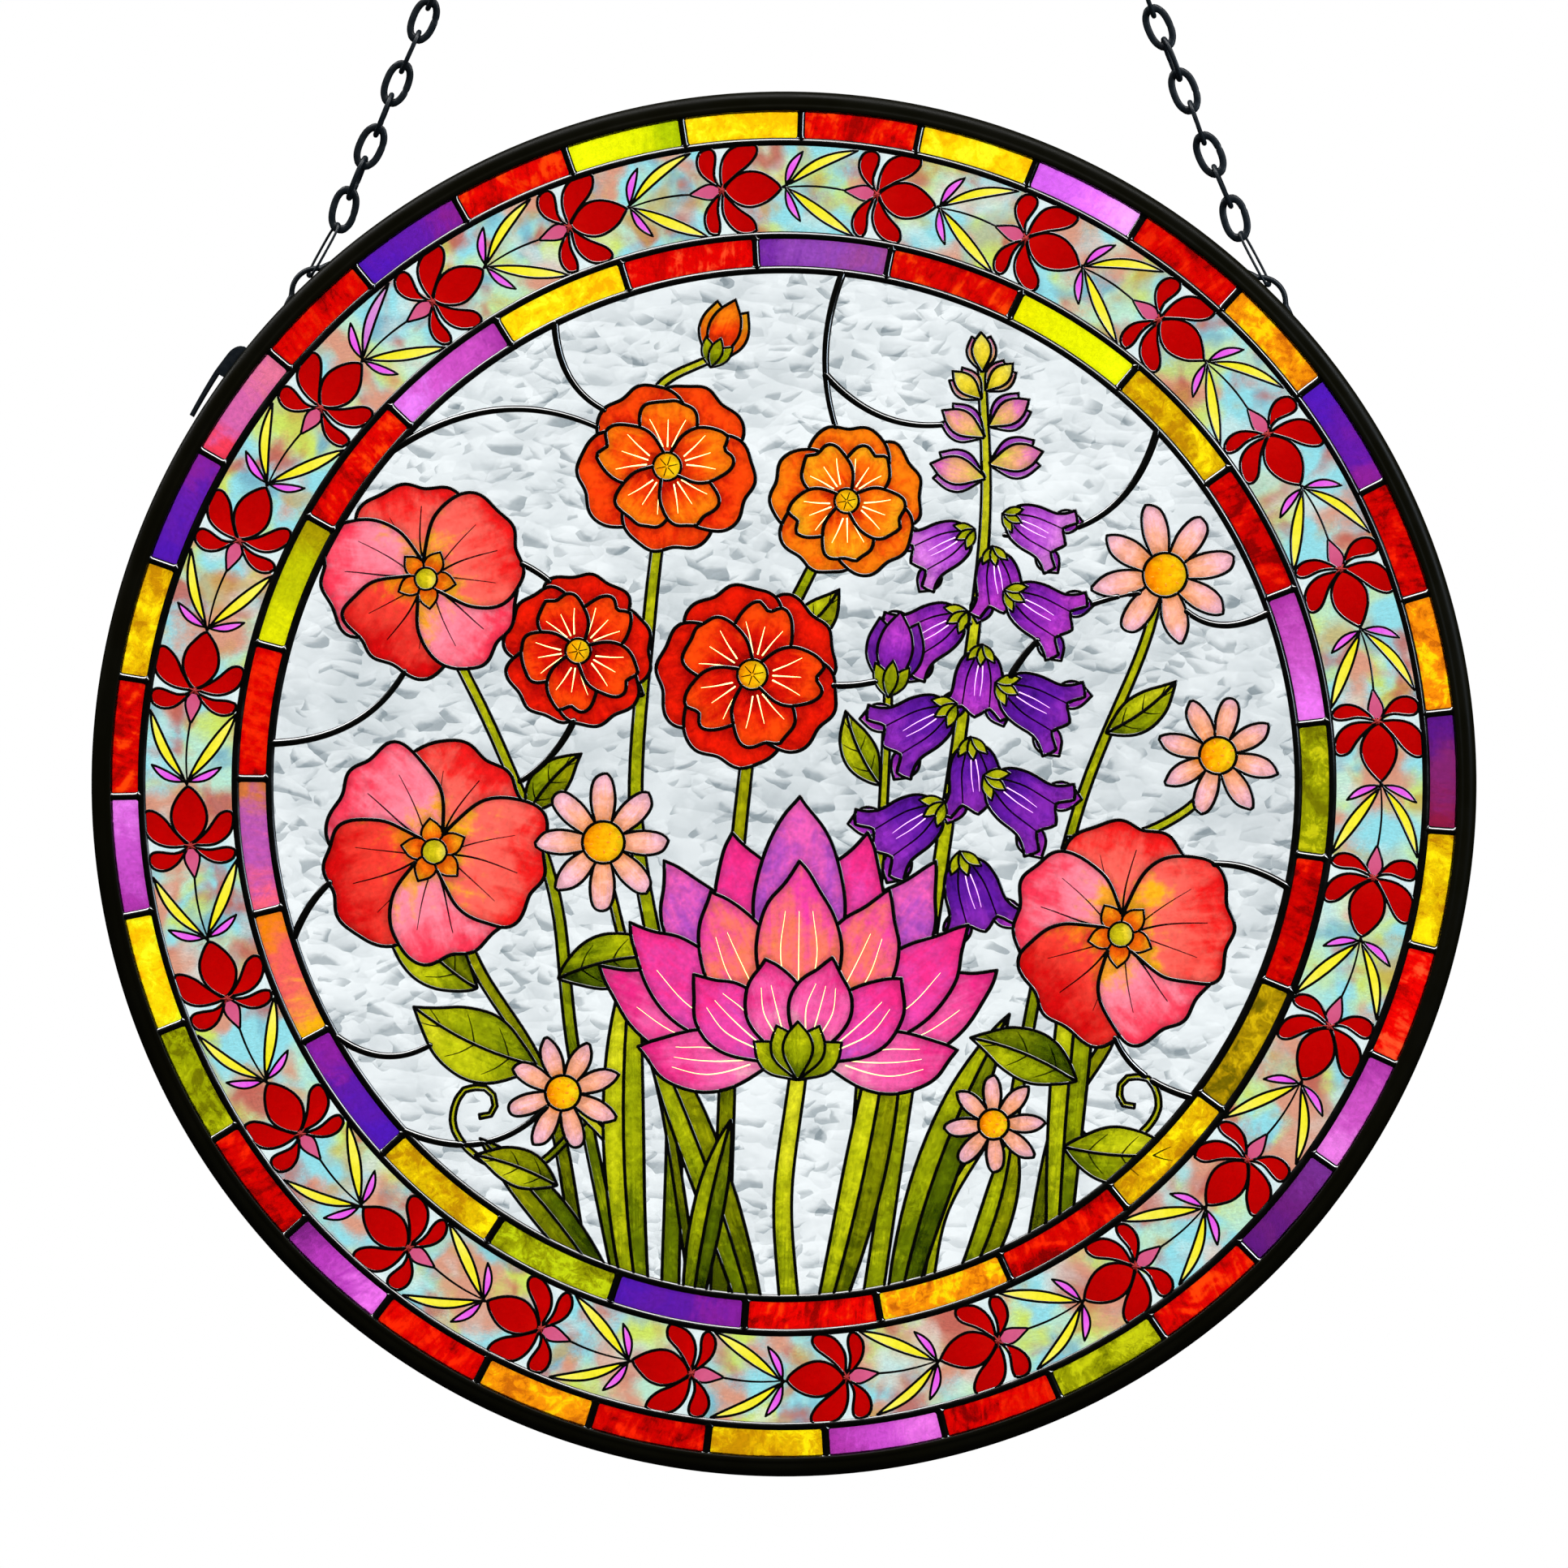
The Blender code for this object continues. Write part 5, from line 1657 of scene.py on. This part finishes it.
def band_shapes():
    art = Art(23)
    rng = random.Random(17)
    for k in range(24):
        joint = FIRST_JOINT + UNIT_STEP * k + rng.uniform(-0.12, 0.12)
        place = lambda pts: along_vine(pts, joint)
        wobble = lambda pts: [(t * rng.uniform(0.985, 1.015), r * rng.uniform(0.985, 1.015)) for t, r in pts]

        def add(pts, fill, base, tip, width, group, line, step=0.45):
            b, e = place([base])[0], place([tip])[0]
            return art.shape(pts, fill, b, e, width, step=step, group=group, line=line)

        # pale water between the petals
        for sign in (1, -1):
            pocket = [(-2.2, sign * 5.2), (-0.6, sign * 2.2), (0.0, sign * 0.6), (0.7, sign * 2.4), (1.6, sign * 5.6), (3.4, sign * 8.6), (-3.0, sign * 8.6)]
            add(place(catmull(pocket, True, 4)), POCKET, (0, 0), (0, sign * 8.4), 6, "pockets", 0.0)
        # stem back to the last node
        t = np.linspace(-17.3, -5.2, 12)
        mid = np.column_stack([t, 0.35 * np.sin((t + 17.3) / 12.1 * math.pi) - 0.05])
        art.stroke_on_ground(place(mid), 0.34, 0.46)
        # calyx
        calyx = catmull([(-5.9, -0.05), (-4.7, 0.55), (-3.4, 1.15), (-2.0, 1.42), (-0.7, 0.9), (0.0, 0.0), (-0.7, -1.0), (-2.0, -1.55), (-3.4, -1.25), (-4.7, -0.65)], True, 4)
        add(place(calyx), CALYX, (-5.7, 0), (0, 0), 2.4, "calyx", 0.46)
        # leaves from the node in front of the blossom; one of them is the wrong colour
        odd = k == ODD_LEAF
        node = 11.6
        for (t1, r1), width, bow, fill, group, line, gap in (
            ((12.5, 7.3), 1.75, 0.10, LEAF_PALE_PINK if odd else LEAF_YELLOW, "leaf_pink" if odd else "leaf_yellow", 0.50, 0.9),
            ((13.6, -8.3), 2.05, -0.06, LEAF_YELLOW, "leaf_yellow", 0.50, 0.9),
            ((3.1, 6.4), 1.45, 0.12, LEAF_PINK, "leaf_pink", 0.46, 0.5),
            ((3.0, -6.3), 1.45, -0.12, LEAF_PINK, "leaf_pink", 0.46, 0.5),
        ):
            length = math.hypot(t1, r1)
            d = np.array([t1, r1]) / length
            side = np.array([-d[1], d[0]])
            s = np.linspace(0, 1, 15)
            half = width / 2 * np.sin(np.pi * s) ** 0.8
            mids = np.array([node, 0.15]) + d * (gap + (length - gap) * s)[:, None] + side * (bow * length * 0.5 * np.sin(np.pi * s))[:, None]
            outline = np.vstack([mids + side * half[:, None], (mids - side * half[:, None])[::-1][1:-1]])
            add(place(outline), fill, tuple(mids[0]), tuple(mids[-1]), width, group, line)
            art.stroke_on_ground(place([(node - 0.5, 0.0), tuple((mids[0] + [node, 0.15]) / 2), tuple(mids[1])]), 0.5, 0.34)
        # petals
        for key in ("back_out", "back_in", "fore_out", "fore_in", "front"):
            pts = wobble(PETALS[key])
            curve = catmull(pts, True, 5)
            far = max(pts, key=lambda q: math.hypot(*q))
            add(place(curve), BLOSSOM, (0, 0), far, 5.5, "blossoms", 0.60)
        eye = [(0.45 * math.cos(q), 0.5 * math.sin(q)) for q in np.linspace(0, math.tau, 10, endpoint=False)]
        add(place(eye), ((236, 60, 10), (220, 30, 6), (206, 10, 4)), (-0.4, 0), (0.4, 0), 1.0, "blossoms", 0.0, step=0.2)
        art.eyes.append([place([(0, 0), (0.5 * math.cos(q), 0.5 * math.sin(q)), (r * math.cos(q), r * math.sin(q))]) for q, r in (
            (0.35, 0.62), (1.25, 1.2), (2.3, 1.05), (3.6, 0.7), (4.15, 1.1), (5.0, 1.25), (5.8, 0.66))])
    return art


class GroundPiece(Piece):
    def add_ground(self, pts, tris, outline):
        n = len(pts)
        front = np.column_stack([pts[:, 0], np.full(n, PLATE_FRONT), pts[:, 1]])
        back = np.column_stack([pts[:, 0], np.full(n, PLATE_BACK), pts[:, 1]])
        faces = list(tris) + [(c + n, b + n, a + n) for a, b, c in tris]
        faces += [(b, a, a + n, b + n) for a, b in outline]
        self.add(np.vstack([front, back]), faces)


def lay_seams(pieces, seams, shapes, height):
    for pts, closed, owner, other in seams:
        piece = pieces.get(shapes[owner - 1]["group"], pieces["black"])
        w = shapes[owner - 1]["line"]
        if w <= 0:
            if other == 0 or shapes[other - 1]["line"] <= 0:
                continue
            w = shapes[other - 1]["line"]
        total = float(np.hypot(*np.diff(pts, axis=0).T).sum())
        if total < 0.15:
            continue
        for run, loop in split_corners(pts, closed):
            if loop:
                run = soften(run, True)
                if len(run) < 6:
                    continue
                v, f = sweep_line(run, w, height, closed=True, profile=ROUND_PROFILE)
            else:
                run = soften(run)
                v, f = sweep_line(run, w, height, profile=ROUND_PROFILE)
            piece.add(v, f)


def lay_strokes(pieces, shapes, ground_lines, height):
    lo = np.array([s["pts"].min(0) for s in shapes])
    hi = np.array([s["pts"].max(0) for s in shapes])
    jobs = [(k, st) for k, s in enumerate(shapes) for st in s["strokes"]] + [(-1, st) for st in ground_lines]
    for own, st in jobs:
        pts = np.asarray(st["pts"])
        w = np.linspace(st["w0"], st["w1"], len(pts))
        for run in visible_runs(pts, shapes, own, lo, hi):
            tone = st["tone"]
            if tone != "black" and len(run) < 0.45 * len(pts):
                continue
            foot = LINE_FOOT if tone == "black" else PLATE_FRONT + 0.02
            wide = max(st["w0"], st["w1"]) > 0.8
            h = (0.36 if wide else height) if tone == "black" else 0.35
            run = list(range(max(0, run[0] - 1), min(len(pts), run[-1] + 2)))
            chosen = sparse(pts[run], 0.01)
            keep, widths = pts[run][chosen], w[run][chosen]
            if len(keep) == 2:
                keep, widths = np.insert(keep, 1, keep.mean(0), axis=0), np.insert(widths, 1, widths.mean())
            v, f = sweep_line(keep, widths, h, foot=foot, profile=None if wide else ROUND_PROFILE if tone == "black" else FINE_PROFILE)
            pieces[tone].add(v, f)


FINE_PROFILE = ridge_profile(5, 0.8)


def build_picture(art, ground, holes, pieces, height, lines_name, tones, ground_piece=None, own_lines=(), grid=0.0):
    shapes = art.shapes
    flat, tris, visible, seams = planar_map(shapes, ground, holes, grid)
    table = dict(pieces)
    if ground_piece is not None:
        table[0] = ground_piece
    lay_plates(table, shapes, flat, tris, visible)
    black = {"black": Piece(lines_name, line_black, "rim")}
    for group in own_lines:
        black[group] = Piece(lines_name + "_" + group, line_black, "rim")
    lay_seams(black, seams, shapes, height)
    lay_strokes({**black, **tones}, shapes, art.ground_lines, height)
    for piece in black.values():
        piece.make()


# band
vine = band_shapes()
groups = ("pockets", "calyx", "leaf_yellow", "leaf_pink", "blossoms")
band_pieces = {g: Piece("band_" + g, plain_glass, "glass", tinted=True, extra=("rim",)) for g in groups}
band_ground = GroundPiece("band_ground", ground_glass, "glass")
build_picture(
    vine, circle(BAND_OUT, 360)[::-1], [circle(BAND_IN, 360)[::-1]], band_pieces, 0.5, "band_lines", {}, band_ground
)
# the blossom eyes carry a faint painted glow
eyes = Piece("band_blossom_eyes", pale_line_painted_glow("red_enamel_line", (112, 7, 4), 0.02), "glass")
for rays in vine.eyes:
    for ray in rays:
        v, f = sweep_line(ray, np.array([0.5, 0.38, 0.14]), 1.05, foot=PLATE_FRONT + 0.02, profile=FINE_PROFILE)
        eyes.add(v, f)
eyes.make()
band_ground.make()
for g in groups:
    band_pieces[g].make()

# picture
picture = garden()
groups = sorted({s["group"] for s in picture.shapes})
picture_pieces = {g: Piece("picture_" + g, colour_glass, "glass", tinted=True, extra=("rim",)) for g in groups}
# the cream, lilac and amber lines carry a painted glow
tones = {
    "cream": Piece("picture_cream_lines", pale_line_painted_glow("cream_enamel_line", (255, 232, 150), 0.45), "glass"),
    "lilac": Piece("picture_lilac_lines", pale_line_painted_glow("lilac_enamel_line", (226, 160, 240), 0.35), "glass"),
    "amber": Piece("picture_amber_lines", pale_line_painted_glow("amber_enamel_line", (226, 104, 0), 0.3), "glass"),
}
picture_ground = GroundPiece("picture_ground", hammered_ground, "glass")
build_picture(
    picture, circle(LINE_3, 300)[::-1], [], picture_pieces, 0.5, "picture_lines", tones, picture_ground,
    ("leaves", "hearts", "pale", "violet"), 1.5,
)
picture_ground.make()
for g in groups:
    picture_pieces[g].make()
for t in tones.values():
    if t.count:
        t.make()

# ---------------------------------------------------------------- stage, light and camera


def stage_material():
    n = Nodes("pale_floor_paint", Roughness=0.8)
    at = n.place((0.01, 0.01, 0.01))
    n.wire(n.mix(n.noise(at, 1.0, 3), linear((236, 236, 234)), linear((242, 242, 240))), n.shader.inputs["Base Color"])
    n.wire(n.ramp(n.noise(at, 2.0, 2), 0.3, 0.7, 0.75, 0.85), n.shader.inputs["Roughness"])
    n.bump(n.noise(at, 4.0, 2), 0.05, 0.001)
    n.shader.inputs["Emission Color"].default_value = (1.0, 1.0, 0.99, 1.0)
    n.shader.inputs["Emission Strength"].default_value = 0.36
    return n.material


mesh = bpy.data.meshes.new("floor")
size, low = 12.0, cad_lo.z - 1.5
mesh.from_pydata([(-size, -size, low), (size, -size, low), (size, size, low), (-size, size, low)], [], [(0, 1, 2, 3)])
floor = bpy.data.objects.new("floor", mesh)
mesh.materials.append(stage_material())
bpy.context.scene.collection.objects.link(floor)
floor.visible_glossy = False  # kept out of the black lines' reflections, as a dark cloth under the set would


def studio_world():
    world = bpy.data.worlds.new("white_studio")
    bpy.context.scene.world = world
    world.use_nodes = True
    tree = world.node_tree
    tree.nodes.clear()
    out = tree.nodes.new("ShaderNodeOutputWorld")
    path = tree.nodes.new("ShaderNodeLightPath")
    coord = tree.nodes.new("ShaderNodeTexCoord")
    split = tree.nodes.new("ShaderNodeSeparateXYZ")
    tree.links.new(coord.outputs["Generated"], split.inputs[0])

    def background(colour, strength=1.0):
        node = tree.nodes.new("ShaderNodeBackground")
        if isinstance(colour, tuple):
            node.inputs["Color"].default_value = (*colour, 1)
        else:
            tree.links.new(colour, node.inputs["Color"])
        node.inputs["Strength"].default_value = strength
        return node.outputs[0]

    ramp = tree.nodes.new("ShaderNodeValToRGB")
    elements = ramp.color_ramp.elements
    elements[0].position, elements[0].color = 0.0, (0.01, 0.01, 0.01, 1)
    elements[1].position, elements[1].color = 1.0, (0.30, 0.31, 0.33, 1)
    for pos, c in ((0.5, 0.012), (0.75, 0.03), (0.9, 0.2)):
        e = elements.new(pos)
        e.color = (c, c, c * 1.04, 1)
    half = tree.nodes.new("ShaderNodeMath")
    half.operation = "MULTIPLY_ADD"
    tree.links.new(split.outputs["Z"], half.inputs[0])
    half.inputs[1].default_value, half.inputs[2].default_value = 0.5, 0.5
    tree.links.new(half.outputs[0], ramp.inputs[0])
    white = background((1.0, 1.0, 1.0), 1.0)
    through = background((1.0, 1.0, 1.0), 1.24)
    soft = background((0.45, 0.46, 0.47), 1.0)
    gloss = background(ramp.outputs[0], 1.0)

    def mix(factor, a, b):
        node = tree.nodes.new("ShaderNodeMixShader")
        tree.links.new(factor, node.inputs[0])
        tree.links.new(a, node.inputs[1])
        tree.links.new(b, node.inputs[2])
        return node.outputs[0]

    shown = mix(path.outputs["Is Glossy Ray"], soft, gloss)
    shown = mix(path.outputs["Is Transmission Ray"], shown, through)
    shown = mix(path.outputs["Is Camera Ray"], shown, white)
    tree.links.new(shown, out.inputs["Surface"])


studio_world()

light = bpy.data.lights.new("overhead_softbox", "AREA")
light.shape, light.size, light.size_y, light.energy = "RECTANGLE", 4.4, 0.26, 135
lamp = bpy.data.objects.new("overhead_softbox", light)
lamp.location = DISC + Vector((-0.15, -0.46, 1.15))
lamp.rotation_euler = (DISC - lamp.location).to_track_quat("-Z", "Y").to_euler()
bpy.context.scene.collection.objects.link(lamp)

# a small cool strip at the upper right, which the upright dividers near the top catch
light = bpy.data.lights.new("side_strip", "AREA")
light.shape, light.size, light.size_y, light.energy = "RECTANGLE", 0.05, 0.26, 1.6
light.color = (0.72, 0.86, 1.0)
lamp = bpy.data.objects.new("side_strip", light)
lamp.location = DISC + Vector((0.34, -0.20, 0.17))
lamp.rotation_euler = (DISC + Vector((0, 0, 0.11)) - lamp.location).to_track_quat("-Z", "Y").to_euler()
bpy.context.scene.collection.objects.link(lamp)

camera_data = bpy.data.cameras.new("camera")
camera_data.lens, camera_data.sensor_width = 200.0, 36.0
camera_data.clip_start, camera_data.clip_end = 0.05, 60.0
camera = bpy.data.objects.new("camera", camera_data)
VIEW_WIDTH = 0.2878  # what the picture spans at the disc
camera.location = DISC + Vector((0, -VIEW_WIDTH * 200.0 / 36.0, 0))
camera.rotation_euler = (math.radians(90), math.radians(-TURN_OF_VIEW), 0)
bpy.context.scene.collection.objects.link(camera)
bpy.context.scene.camera = camera
bpy.context.scene.view_settings.view_transform = "Standard"
bpy.context.scene.view_settings.look = "None"
